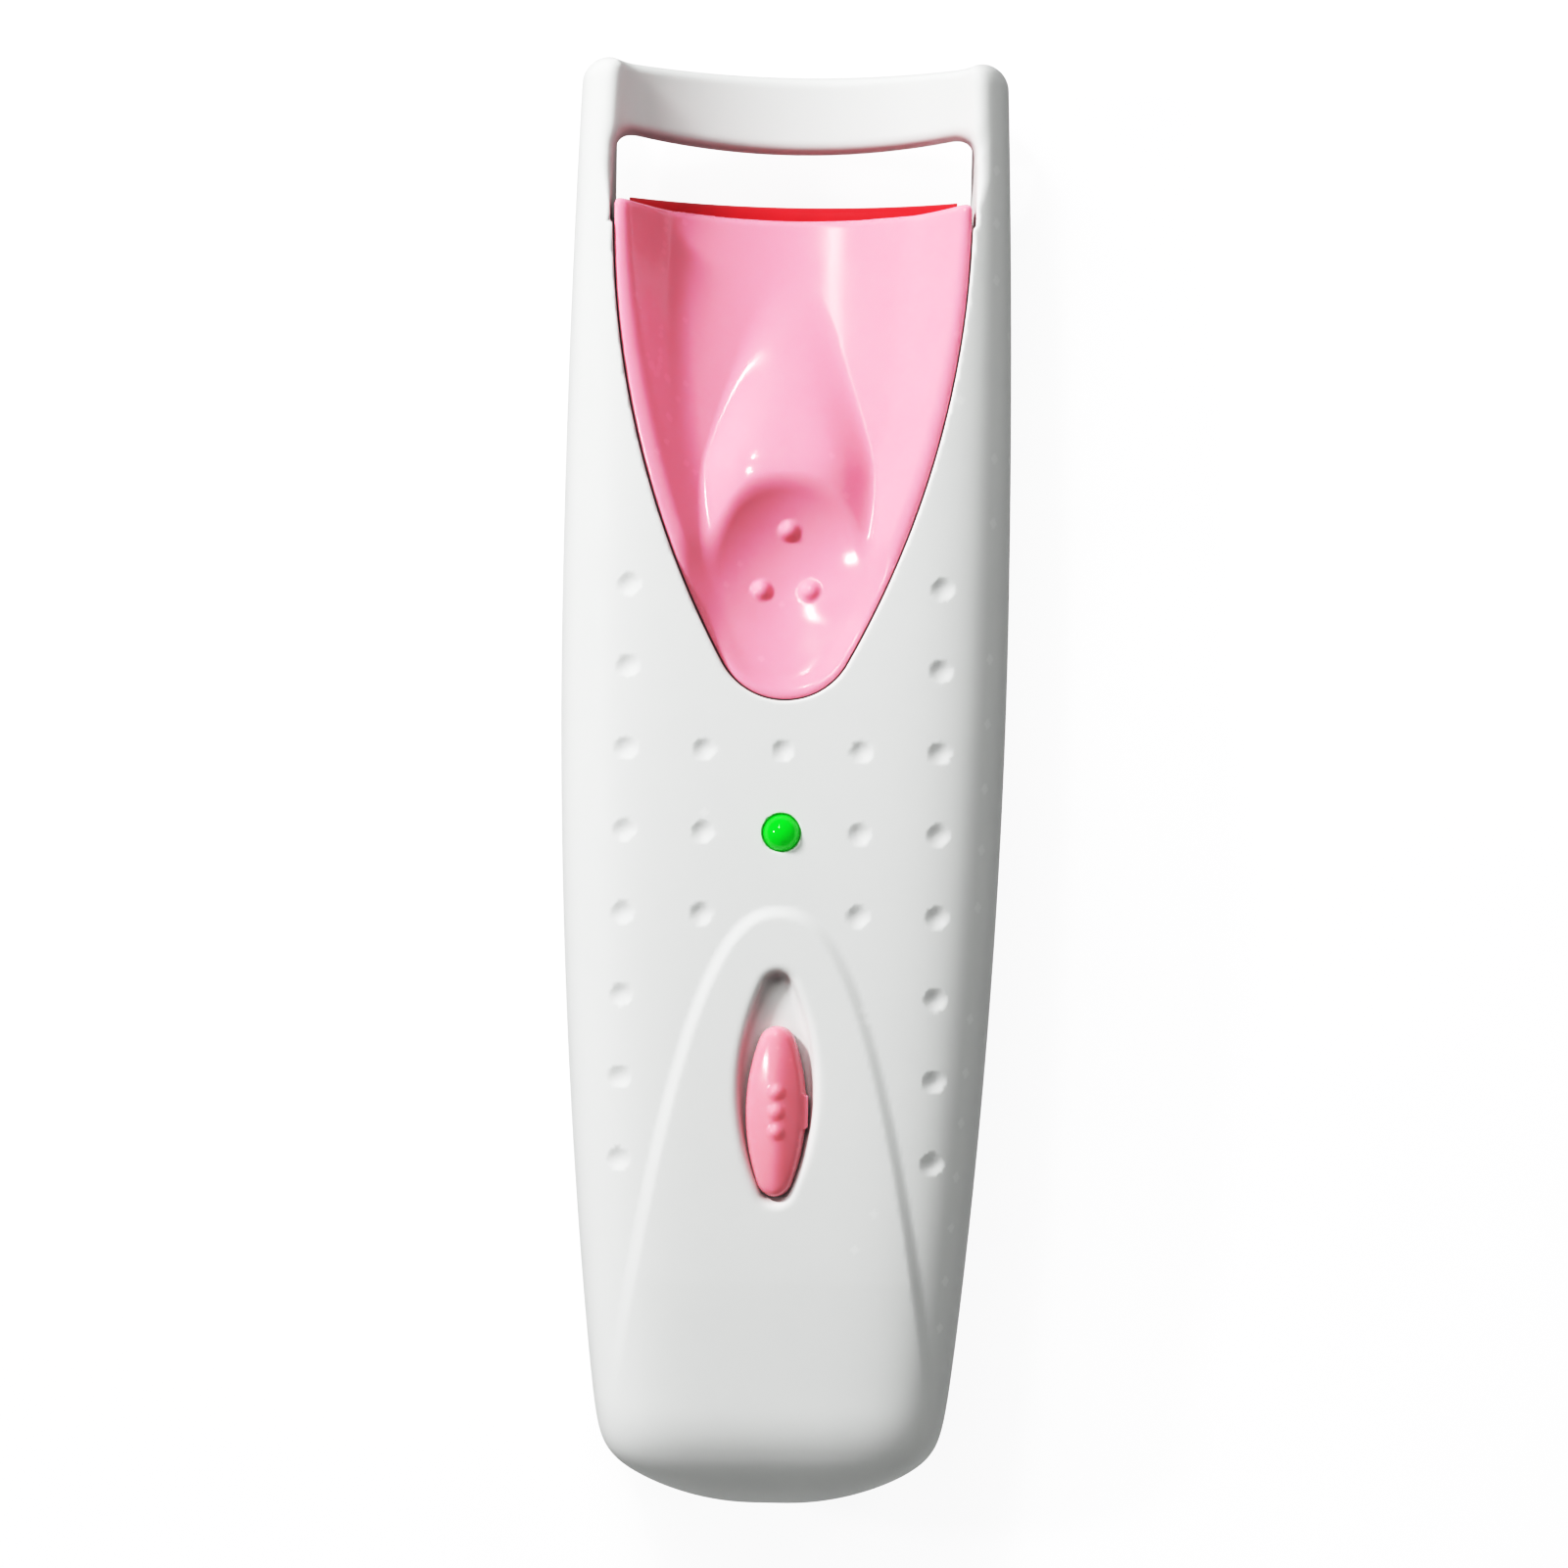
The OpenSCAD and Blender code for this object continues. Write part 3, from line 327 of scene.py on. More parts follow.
def back_shell(x, y, z):
    # the dimples are made by reading the form a little deeper there
    outer = body_field(x, y, np.where(z < SPLIT_Z - 3, z + pits(x, y, back_dimple_sites()), z))
    plain = body_field(x, y, z)
    room = np.maximum(plain + WALL, np.maximum(np.abs(x) - 13.2, slab(y, 20, SHELL_END_Y - WALL)))
    cavity = np.minimum(np.maximum(plain + WALL, y - 36), room)
    solid = smooth_max(outer, -cavity, 0.3)
    inner = plain + 0.3
    parts = block(x, y, z, (-13, 13), (BAY_LOW_Y - 2.2, BAY_LOW_Y - 1.1), (DOOR_T + 0.15, SPLIT_Z))
    for side in (-1, 1):
        parts = np.minimum(parts, block(side * x, y, z, (13.6, 16.5), (12, 34), (1, EAR_Z - 0.2)))
        parts = np.minimum(parts, block(side * x, y, z, (11.2, 14.2), (BAY_LOW_Y, BAY_LOW_Y + 48),
                                        (DOOR_T + 0.15, DOOR_T + 1.25)))
        post = cylinder_z(x, y, (side * BOSS_X, BOSS_Y), BACK_POST_RADIUS)
        parts = np.minimum(parts, np.maximum(post, z - SPLIT_Z))
        seat = block(side * x - SPRING_X, y - SPRING_HIGH_Y, z, (-1.7, 1.7), (0, 1.8), (1.4, 10))
        parts = np.minimum(parts, seat)
        pin = np.hypot(side * x - SPRING_X, z - SPRING_Z) - 1.2
        parts = np.minimum(parts, np.maximum(pin, slab(y, SPRING_HIGH_Y - 5, SPRING_HIGH_Y + 1)))
    post = cylinder_z(x, y, (0, TAIL_SCREW_Y), BACK_POST_RADIUS)
    parts = np.minimum(parts, np.maximum(post, slab(z, DOOR_T + 0.15, DOOR_T + 5.15)))
    solid = np.minimum(solid, np.maximum(parts, inner))
    solid = smooth_max(solid, np.maximum(z - SPLIT_Z, y - SHELL_END_Y), 0.25)
    solid = smooth_max(solid, -np.maximum(arc_distance(x, z) - 4.5, 30 - y), 0.4)
    opening_y = (-80, DOOR_TOP_Y + 0.12)
    doorway = block(x, y, z, (-DOOR_HALF - 0.12, DOOR_HALF + 0.12), opening_y, (-1, DOOR_T + 0.1))
    tracks = block(x, y, z, (-DOOR_HALF - 1.15, DOOR_HALF + 1.15), opening_y,
                   (DOOR_T / 2 - 0.1, DOOR_T + 0.1))
    solid = smooth_max(solid, -np.minimum(doorway, tracks), 0.25)
    solid = np.maximum(solid, -block(x, y, z, (-11.2, 11.2), (BAY_LOW_Y - 1, BAY_HIGH_Y + 0.5), (-1, 7)))
    for site in SCREW_SITES:
        seat = np.maximum(cylinder_z(x, y, site, HEAD_SEAT_RADIUS), z - (3 if site[0] else 4))
        hole = np.maximum(cylinder_z(x, y, site, SHANK_HOLE_RADIUS), z - 11)
        solid = smooth_max(solid, -np.minimum(seat, hole), 0.25)
    return solid


def battery_door(x, y, z):
    plate = block(x, y, z, (-DOOR_HALF, DOOR_HALF), (-80, DOOR_TOP_Y), (-1, DOOR_T))
    tongue = block(x, y, z, (-DOOR_HALF - 1, DOOR_HALF + 1), (-80, DOOR_TOP_Y - 2), (DOOR_T / 2, DOOR_T))
    # finger grooves, each a little shorter than the one above it
    solid = smooth_max(body_field(x, y, z), np.minimum(plate, tongue), 0.25)
    for i in range(8):
        groove = np.hypot(y - (DOOR_TOP_Y - 4 - 1.4 * i), z + 0.15) - 0.5
        solid = smooth_max(solid, -np.maximum(groove, np.abs(x) - (5.2 - 0.45 * i)), 0.2)
    return solid


# ---------------------------------------------------------------- thumb slider, pad and knob

def rim_z(h):
    return front_z(slider_half(h), SLIDER_TIP_Y + h) - RIM_DROP


def slider_face(x, h):
    """Height of the slider's face: a trough, a nose that rises from it, and the thumb dish."""
    rim = rim_z(h)
    head_depth = float(rim_z(np.array(SLIDER_LENGTH))) - ARC_LOW_Z - 0.06
    depth = 1 + (head_depth - 1) * np.clip(h, 0, SLIDER_LENGTH) / SLIDER_LENGTH
    wall = np.maximum(1.5, 0.35 * slider_half(h))
    inward = smooth_max(-slider_outline(x, SLIDER_TIP_Y + h) - RIM_WIDTH, 0.0, 0.7)
    sag = ARC_RADIUS - np.sqrt(np.maximum(ARC_RADIUS**2 - x * x, 1))
    trough = rim - (depth - sag) * (1 - (1 - np.clip(inward / wall, 0, 1)) ** 2.4)
    start_depth = 1 + (head_depth - 1) * NOSE_START_H / SLIDER_LENGTH
    climb = (h - NOSE_END_H) / (NOSE_START_H - NOSE_END_H)
    share = (climb + np.sqrt(climb * climb + 0.0225)) / 2
    # the nose is round across at its start and flatter across where it meets the dish
    fall = x * x / (2 * NOSE_RADIUS) * (
        x * x / (5.1 * np.maximum(0.5, NOSE_START_H - h))) ** np.clip(1 - climb, 0, 1)
    nose = rim - RIDGE_DROP - share * (start_depth - RIDGE_DROP) - fall
    dish = (rim - RIDGE_DROP - DISH_DEPTH
            + (x * x + (h - DISH_H) ** 2) * DISH_DEPTH / DISH_RADIUS**2)
    crispness = 0.6 + 2.0 * smooth_step((DISH_H - h) / 5)
    return smooth_min(smooth_max(trough, nose, 1.6), dish, crispness)


def slider_field(x, y, z):
    h = np.clip(y - SLIDER_TIP_Y, 0.05, SLIDER_LENGTH)
    face = slider_face(x, h)
    tilt_x = (slider_face(x + 0.05, h) - slider_face(x - 0.05, h)) / 0.1
    tilt_y = (slider_face(x, h + 0.05) - slider_face(x, h - 0.05)) / 0.1
    lean = np.sqrt(1 + np.minimum(tilt_x**2 + tilt_y**2, 30))
    edge = slider_outline(x, y)
    solid = smooth_max(body_field(x, y, z) + RIM_DROP, edge, 0.38)
    solid = smooth_max(solid, (z - face) / lean, 0.55)
    sheet = SHEET + 1.2 * smooth_step((h - SLIDER_LENGTH + 5) / 2)
    under = np.minimum((face - sheet - z) / lean, np.maximum(EAR_Z - z, -edge - 1.1))
    solid = np.maximum(solid, under)
    # the curved head that carries the pad, its lip a little lower in the middle
    lip = SLIDER_TOP_Y - LIP_DIP + 1.0 * (x / SLIDER_HALF_WIDTH) ** 2
    across = np.maximum(slab(arc_distance(x, z), 0.02, 4.2), np.abs(x) - 14.1)
    tall = slab(y, SLIDER_TOP_Y - 3.6, np.minimum(lip, SLIDER_TOP_Y))
    head = np.maximum(np.maximum(across, z - ARC_CENTRE_Z), tall)
    solid = np.minimum(smooth_max(solid, y - lip, 0.6), head)
    groove = np.maximum(slab(arc_distance(x, z), 0.8, 3.4), block(x, y, z, (-13.5, 13.5),
                        (SLIDER_TOP_Y - 2.6, 80), (-5, ARC_CENTRE_Z)))
    solid = smooth_max(solid, -groove, 0.2)
    for dx, dh in GRIP_DOTS:
        base = float(slider_face(np.array(dx), np.array(dh)))
        away = np.sqrt((x - dx) ** 2 + (y - SLIDER_TIP_Y - dh) ** 2 + (z - base + GRIP_DOT_SINK) ** 2)
        solid = smooth_min(solid, away - GRIP_DOT_RADIUS, 0.32)
    return solid


def heat_pad(x, y, z):
    across = slab(arc_distance(x, z), 0.9, 3.3)
    top = PAD_TOP_Y - PAD_SAG * (1 - (x / 13.4) ** 2)
    along = np.maximum(slab(y, SLIDER_TOP_Y - 1.9, top), np.abs(x) - 13.4)
    return np.maximum(smooth_max(across, along, 0.9), z - ARC_CENTRE_Z)


def switch_knob(x, y, z):
    y, z = y - KNOB_Y, z - RECESS_FLOOR_Z - 0.15
    outline = almond(x, y, KNOB_HALF_LENGTH - 0.15, KNOB_HALF_WIDTH, 1.5)
    across = 0.5 * (np.sqrt(x * x + 0.5) - 0.7)
    ridge = KNOB_HIGH - across - 0.03 * x * x - 0.75 * np.abs(y / KNOB_HALF_LENGTH) ** 2.6
    solid = smooth_max(smooth_max(outline, (z - ridge) / 1.15, 0.8), -z, 0.1)
    solid = np.minimum(solid, block(x, y, z, (-0.9, 0.9), (-1.9, 1.9), (-2.6, 0.5)))
    for i in (-1, 0, 1):
        away = np.sqrt(x * x + (y - KNOB_DOT_PITCH * i) ** 2 + (z - KNOB_HIGH + KNOB_DOT_SINK) ** 2)
        solid = smooth_min(solid, away - KNOB_DOT_RADIUS, 0.3)
    tab = smooth_max(block(x, y, z, (2.0, 2.6), (-1.3, 1.3), (0.25, 1.05)), outline - 0.3, 0.3)
    return smooth_min(solid, tab, 0.3)


# ---------------------------------------------------------------- from fields to meshes

def sample(field, axes):
    x, y, z = (a.astype(np.float32) for a in axes)
    strips = []
    for start in range(0, len(y), 40):
        part = field(x[:, None, None], y[None, start:start + 40, None], z[None, None, :])
        strips.append(np.asarray(part, np.float32))
    return np.concatenate(strips, axis=1)


def surface_net(field, low, high, cell):
    """Points on the field's zero surface and the quads that join them."""
    axes = [np.arange(a - 1.5 * cell, b + 2.5 * cell, cell) for a, b in zip(low, high)]
    value = sample(field, axes)
    inside = value < 0
    shape = np.array(value.shape)
    crossings, rings = [], []
    for axis in range(3):
        step = np.eye(3, dtype=int)[axis]
        lower = tuple(slice(0, n - s) for n, s in zip(shape, step))
        upper = tuple(slice(s, n) for n, s in zip(shape, step))
        at = np.argwhere(inside[lower] != inside[upper])
        v0, v1 = value[tuple(at.T)], value[tuple((at + step).T)]
        point = at.astype(float)
        point[:, axis] += v0 / (v0 - v1)
        u, v = (axis + 1) % 3, (axis + 2) % 3
        ring = []
        for du, dv in ((-1, -1), (0, -1), (0, 0), (-1, 0)):
            corner = at.copy()
            corner[:, u] += du
            corner[:, v] += dv
            ring.append(np.ravel_multi_index(tuple(corner.T), tuple(shape)))
        ring = np.stack(ring, axis=1)
        rings.append(np.where((v0 < 0)[:, None], ring, ring[:, ::-1]))
        crossings.append(np.repeat(point, 4, axis=0))
    ring, crossing = np.concatenate(rings), np.concatenate(crossings)
    order = np.concatenate([r.ravel() for r in rings])
    _, index = np.unique(order, return_inverse=True)
    index = index.ravel()
    count = np.bincount(index)
    points = np.stack([np.bincount(index, crossing[:, k]) / count for k in range(3)], axis=1)
    origin = np.array([a[0] for a in axes])
    return origin + points * cell, index.reshape(-1, 4)


def settle(field, points, reach):
    """Moves points onto the field's zero surface, and returns them with the surface's normals."""
    start, e = points.copy(), 0.01
    for _ in range(4):
        x, y, z = points.T
        value = field(x, y, z)
        slope = np.stack([field(x + e, y, z) - field(x - e, y, z),
                          field(x, y + e, z) - field(x, y - e, z),
                          field(x, y, z + e) - field(x, y, z - e)], axis=1) / (2 * e)
        size = np.maximum((slope**2).sum(1, keepdims=True), 1e-6)
        points = points - np.clip(value, -reach, reach)[:, None] * slope / size
        drift = points - start
        length = np.linalg.norm(drift, axis=1, keepdims=True)
        points = start + drift * np.minimum(1, reach / np.maximum(length, 1e-9))
    return points, slope / np.sqrt(size)


def build_mesh(name, points, faces, normals=None):
    mesh = bpy.data.meshes.new(name)
    mesh.from_pydata((points * MM).tolist(), [], faces.tolist(), shade_flat=False)
    mesh.validate()
    if normals is not None and len(mesh.vertices) == len(normals):
        mesh.normals_split_custom_set_from_vertices(normals.tolist())
    piece = bpy.data.objects.new(name, mesh)
    bpy.context.scene.collection.objects.link(piece)
    return piece


def grow(name, field, low, high, cell):
    points, faces = surface_net(field, low, high, cell)
    points, normals = settle(field, points, cell * 0.8)
    return build_mesh(name, points, faces, normals)


def sweep(name, route, radius, sides):
    """A round tube along a list of points, in mm, closed at both ends."""
    route = np.array(route, float)
    ahead = np.vstack([route[1:], route[-1:]]) - np.vstack([route[:1], route[:-1]])
    ahead /= np.linalg.norm(ahead, axis=1, keepdims=True)
    side = np.cross(ahead, np.where(np.abs(ahead[:, :1]) < 0.8, [[1.0, 0, 0]], [[0, 0, 1.0]]))
    side /= np.linalg.norm(side, axis=1, keepdims=True)
    other = np.cross(ahead, side)
    turn = 2 * np.pi * np.arange(sides) / sides
    ring = (route[:, None] + radius * (np.cos(turn)[None, :, None] * side[:, None]
                                       + np.sin(turn)[None, :, None] * other[:, None]))
    points = ring.reshape(-1, 3)
    faces = []
    for i in range(len(route) - 1):
        for k in range(sides):
            a, b = i * sides + k, i * sides + (k + 1) % sides
            faces.append([a, b, b + sides, a + sides])
    mesh = bpy.data.meshes.new(name)
    last = (len(route) - 1) * sides
    caps = [list(range(sides))[::-1], [last + k for k in range(sides)]]
    mesh.from_pydata((points * MM).tolist(), [], faces + caps, shade_flat=False)
    piece = bpy.data.objects.new(name, mesh)
    bpy.context.scene.collection.objects.link(piece)
    return piece


def lathe(name, profile, centre, sides=64):
    """A turned piece about a vertical axis from (radius, height) points, in mm."""
    turn = 2 * np.pi * np.arange(sides) / sides
    points = np.array([[centre[0] + r * c, centre[1] + r * s, centre[2] + h]
                       for r, h in profile for c, s in zip(np.cos(turn), np.sin(turn))])
    faces = [[i * sides + k, i * sides + (k + 1) % sides, (i + 1) * sides + (k + 1) % sides,
              (i + 1) * sides + k] for i in range(len(profile) - 1) for k in range(sides)]
    mesh = bpy.data.meshes.new(name)
    last = (len(profile) - 1) * sides
    caps = [list(range(sides))[::-1], [last + k for k in range(sides)]]
    mesh.from_pydata((points * MM).tolist(), [], faces + caps, shade_flat=False)
    piece = bpy.data.objects.new(name, mesh)
    bpy.context.scene.collection.objects.link(piece)
    return piece


# ---------------------------------------------------------------- materials

class Look:
    """A Principled material whose textures run in the object's own metres."""

    def __init__(self, name, **shader):
        self.material = bpy.data.materials.new(name)
        self.material.use_nodes = True
        self.tree = self.material.node_tree
        self.shader = self.tree.nodes["Principled BSDF"]
        for key, value in shader.items():
            self.shader.inputs[key.replace("_", " ")].default_value = value
        self.coords = self.add("ShaderNodeTexCoord").outputs["Object"]

    def add(self, kind, **sockets):
        node = self.tree.nodes.new(kind)
        for key, value in sockets.items():
            socket = node.inputs[key.replace("_", " ")]
            if isinstance(value, bpy.types.NodeSocket):
                self.tree.links.new(value, socket)
            else:
                socket.default_value = value
        return node

    def noise(self, size_mm, detail=3.0, roughness=0.5, stretch=None):
        """Noise whose grain is about size_mm across, stretched by axis if asked."""
        vector = self.coords
        if stretch:
            mapping = self.add("ShaderNodeMapping", Vector=self.coords)
            mapping.inputs["Scale"].default_value = stretch
            vector = mapping.outputs["Vector"]
        node = self.add("ShaderNodeTexNoise", Vector=vector, Scale=1000.0 / size_mm, Detail=detail,
                        Roughness=roughness)
        return node.outputs["Fac"]

    def between(self, value, low, high, to_low, to_high):
        node = self.add("ShaderNodeMapRange", Value=value)
        for key, number in zip(("From Min", "From Max", "To Min", "To Max"), (low, high, to_low, to_high)):
            node.inputs[key].default_value = number
        return node.outputs["Result"]

    def mix(self, share, first, second):
        node = self.tree.nodes.new("ShaderNodeMix")
        node.data_type = "RGBA"
        self.tree.links.new(share, node.inputs["Factor"])
        for socket, value in ((node.inputs["A"], first), (node.inputs["B"], second)):
            sockets = [s for s in node.inputs if s.type == "RGBA" and s.name == socket.name]
            if isinstance(value, bpy.types.NodeSocket):
                self.tree.links.new(value, sockets[0])
            else:
                sockets[0].default_value = (*value, 1.0)
        return [s for s in node.outputs if s.type == "RGBA"][0]

    def set(self, key, socket):
        self.tree.links.new(socket, self.shader.inputs[key])

    def bump(self, height, distance_mm, strength=1.0, under=None):
        node = self.add("ShaderNodeBump", Height=height, Distance=distance_mm * MM, Strength=strength)
        if under is not None:
            self.tree.links.new(under, node.inputs["Normal"])
        return node.outputs["Normal"]

    def worn(self):
        """Close to 1 on outer edges and corners, 0 on flats and in hollows."""
        geometry = self.add("ShaderNodeNewGeometry")
        return self.between(geometry.outputs["Pointiness"], 0.52, 0.60, 0.0, 1.0)


def tint(colour, factor):
    return tuple(min(1.0, c * factor) for c in colour)


def moulded(name, colour, roughness, mottle=0.03, grain=0.004, subsurface=0.0, radius=(1, 1, 1),
            reach_mm=1.0, shade=None, coat=0.0):
    look = Look(name, Metallic=0.0, IOR=1.5, Coat_Weight=coat, Coat_Roughness=0.06,
                Subsurface_Weight=subsurface, Subsurface_Scale=reach_mm * MM, Subsurface_Radius=radius)
    broad = look.noise(22, 3.0)
    patches = look.between(broad, 0.35, 0.65, 0, 1)
    cloud = look.mix(patches, tint(colour, 1 - mottle), tint(colour, 1 + mottle))
    flow = look.noise(3.5, 4.0)
    tone = look.mix(look.between(flow, 0.45, 0.75, 0, 0.35), cloud, shade or tint(colour, 0.94))
    edge = look.mix(look.worn(), tone, tint(colour, 1.06))
    look.set("Base Color", edge)
    look.set("Roughness", look.between(look.noise(5.0, 4.0), 0.3, 0.7, roughness - 0.04, roughness + 0.05))
    fine = look.bump(look.noise(0.35, 2.0), grain)
    look.set("Normal", look.bump(look.noise(9.0, 2.0), grain * 6, under=fine))
    return look.material


def metal(name, colour, roughness, stretch=(1, 14, 14)):
    look = Look(name, Metallic=1.0, IOR=2.2)
    brushed = look.noise(0.6, 3.0, stretch=stretch)
    dull = look.between(look.noise(2.5, 4.0), 0.35, 0.7, 0, 1)
    look.set("Base Color", look.mix(dull, colour, tint(colour, 0.82)))
    look.set("Roughness", look.between(brushed, 0.3, 0.7, roughness - 0.08, roughness + 0.12))
    look.set("Normal", look.bump(brushed, 0.004))
    return look.material


def silicone(name, colour):
    look = Look(name, IOR=1.42, Subsurface_Weight=0.25, Subsurface_Scale=0.0012,
                Subsurface_Radius=(1, 0.25, 0.2), Sheen_Weight=0.15, Sheen_Roughness=0.5)
    cloud = look.between(look.noise(4, 3), 0.35, 0.65, 0, 1)
    look.set("Base Color", look.mix(cloud, colour, tint(colour, 0.86)))
    look.set("Roughness", look.between(look.noise(1.2, 3), 0.3, 0.7, 0.42, 0.58))
    look.set("Normal", look.bump(look.noise(0.25, 2), 0.01))
    return look.material


def lamp_resin(name, colour):
    look = Look(name, IOR=1.55, Subsurface_Weight=0.5, Subsurface_Scale=0.0015,
                Subsurface_Radius=(0.2, 1, 0.3), Emission_Strength=0.25, Coat_Weight=0.3, Coat_Roughness=0.03)
    look.shader.inputs["Emission Color"].default_value = (*colour, 1)
    cloud = look.between(look.noise(1.2, 2), 0.35, 0.65, 0, 1)
    look.set("Base Color", look.mix(cloud, colour, tint(colour, 0.8)))
    look.set("Roughness", look.between(look.noise(0.8, 2), 0.3, 0.7, 0.08, 0.16))
    return look.material


def board_mask(name, colour):
    look = Look(name, IOR=1.5, Coat_Weight=0.3, Coat_Roughness=0.1)
    brick = look.add("ShaderNodeTexBrick", Vector=look.coords, Scale=380.0)
    brick.inputs["Mortar Size"].default_value = 0.03
    brick.inputs["Color1"].default_value = (*colour, 1)
    brick.inputs["Color2"].default_value = (*tint(colour, 1.25), 1)
    brick.inputs["Mortar"].default_value = (*tint(colour, 1.9), 1)
    look.set("Base Color", brick.outputs["Color"])
    look.set("Roughness", look.between(look.noise(2, 3), 0.3, 0.7, 0.28, 0.42))
    look.set("Normal", look.bump(look.noise(0.4, 2), 0.01))
    return look.material


def cell_jacket(name, from_y, to_y):
    """A battery's film: a copper-coloured band at its positive end, dark green along the rest."""
    look = Look(name, Metallic=0.35, IOR=1.5, Coat_Weight=0.4, Coat_Roughness=0.08)
    split = look.add("ShaderNodeSeparateXYZ", Vector=look.coords)
    along = look.between(split.outputs["Y"], from_y * MM, to_y * MM, 0, 1)
    band = look.between(along, 0.70, 0.705, 0, 1)
    metal_end = look.between(along, 0.969, 0.971, 0, 1)
    base = look.mix(band, (0.02, 0.10, 0.055), (0.55, 0.24, 0.09))
    look.set("Base Color", look.mix(metal_end, base, (0.62, 0.62, 0.63)))
    look.set("Roughness", look.between(look.noise(3, 3), 0.3, 0.7, 0.24, 0.36))
    look.set("Normal", look.bump(look.noise(1.5, 2), 0.006))
    return look.material


def table_top():
    look = Look("table_top", IOR=1.45)
    cloud = look.between(look.noise(60, 3), 0.35, 0.65, 0, 1)
    seen = look.mix(cloud, (0.93, 0.93, 0.93), (0.90, 0.90, 0.905))
    look.set("Roughness", look.between(look.noise(20, 3), 0.3, 0.7, 0.62, 0.72))
    # the table throws back less light than it shows, so the curler's lower sides stay dark
    path = look.add("ShaderNodeLightPath")
    look.set("Base Color", look.mix(path.outputs["Is Camera Ray"], (0.2, 0.2, 0.2), seen))
    return look.material


WHITE = moulded("white_shell", (0.70, 0.71, 0.70), 0.42, mottle=0.01, subsurface=0.12,
                radius=(1.0, 0.95, 0.9), shade=(0.68, 0.69, 0.685))
PINK = moulded("pink_cover", (0.92, 0.325, 0.42), 0.15, mottle=0.015, grain=0.0015, subsurface=0.25,
               radius=(1.0, 0.3, 0.4), reach_mm=1.5, shade=(0.91, 0.30, 0.39), coat=0.25)
KNOB_PINK = moulded("pink_knob", (0.90, 0.32, 0.38), 0.2, mottle=0.015, grain=0.0015, subsurface=0.4,
                    radius=(1.0, 0.28, 0.3), reach_mm=1.5, shade=(0.88, 0.28, 0.34), coat=0.3)
RED = silicone("pad_silicone", (0.62, 0.025, 0.04))
GREEN = lamp_resin("lamp_resin", (0.0, 0.62, 0.02))
CREAM = moulded("holder_plastic", (0.74, 0.74, 0.68), 0.5)
BLACK = moulded("black_resin", (0.02, 0.02, 0.022), 0.42)
CERAMIC = moulded("ceramic", (0.72, 0.69, 0.60), 0.55)
WIRE_RED = moulded("wire_red", (0.50, 0.02, 0.02), 0.4)
NICKEL = metal("nickel", (0.66, 0.65, 0.62), 0.28)
STEEL = metal("spring_steel", (0.55, 0.56, 0.58), 0.30)
ZINC = metal("screw_zinc", (0.58, 0.58, 0.60), 0.34, stretch=(8, 8, 1))
ALUMINIUM = metal("aluminium", (0.78, 0.78, 0.79), 0.36)
BOARD = board_mask("solder_mask", (0.015, 0.115, 0.045))


# ---------------------------------------------------------------- pieces

def dress(piece, material, body, slot, *nodes):
    piece.data.materials.clear()
    piece.data.materials.append(material)
    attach(piece, body)
    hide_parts(*nodes)
    return piece


def repaint(node, material):
    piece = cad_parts[node]
    piece.data.materials.clear()
    piece.data.materials.append(material)


def lamp_profile():
    top = float(front_z(np.array(0.0), np.array(LED_Y))) + 0.95
    dome = [(LED_RADIUS * math.cos(a), 3.8 + LED_RADIUS * math.sin(a))
            for a in np.radians(np.arange(0, 90, 7.5))]
    flange = [(LED_FLANGE_RADIUS, 0), (LED_FLANGE_RADIUS, 1), (LED_RADIUS, 1)]
    return top - LED_HEIGHT, [*flange, *dome, (0.02, LED_HEIGHT)]


def coil(turns, r_start, r_end, length, per_turn):
    steps = np.arange(turns * per_turn + 1)
    share = steps / (turns * per_turn)
    angle, radius = 2 * np.pi * steps / per_turn, r_start + (r_end - r_start) * share
    return np.stack([radius * np.cos(angle), length * share, radius * np.sin(angle)], axis=1)


def wire_route(side):
    """The heater wire's run: down from the heater, along the floor, and up to the board."""
    y = np.array([41.9, 41.2, 39.2, 36, 31, 26, 21, 16, 12, 8.5, 6.4, 5.6, 4.9, 3.8, 2])
    z = np.array([8.15, 8, 6.9, 5.7, 5, 4.8, 5, 5.8, 7.4, 9.8, 12.2, 14, 15, 15.2, 15.1])
    along = np.linspace(0, len(y) - 1, 6 * len(y))
    knots = np.arange(len(y))
    y, z = np.interp(along, knots, y), np.interp(along, knots, z)
    kernel = np.array([1, 4, 6, 8, 6, 4, 1]) / 30
    ends = (y[0], z[0]), (y[-1], z[-1])
    y = np.convolve(np.pad(y, 3, mode="edge"), kernel, mode="valid")
    z = np.convolve(np.pad(z, 3, mode="edge"), kernel, mode="valid")
    (y[0], z[0]), (y[-1], z[-1]) = ends
    return np.stack([np.full_like(y, side * WIRE_X), y, z], axis=1)


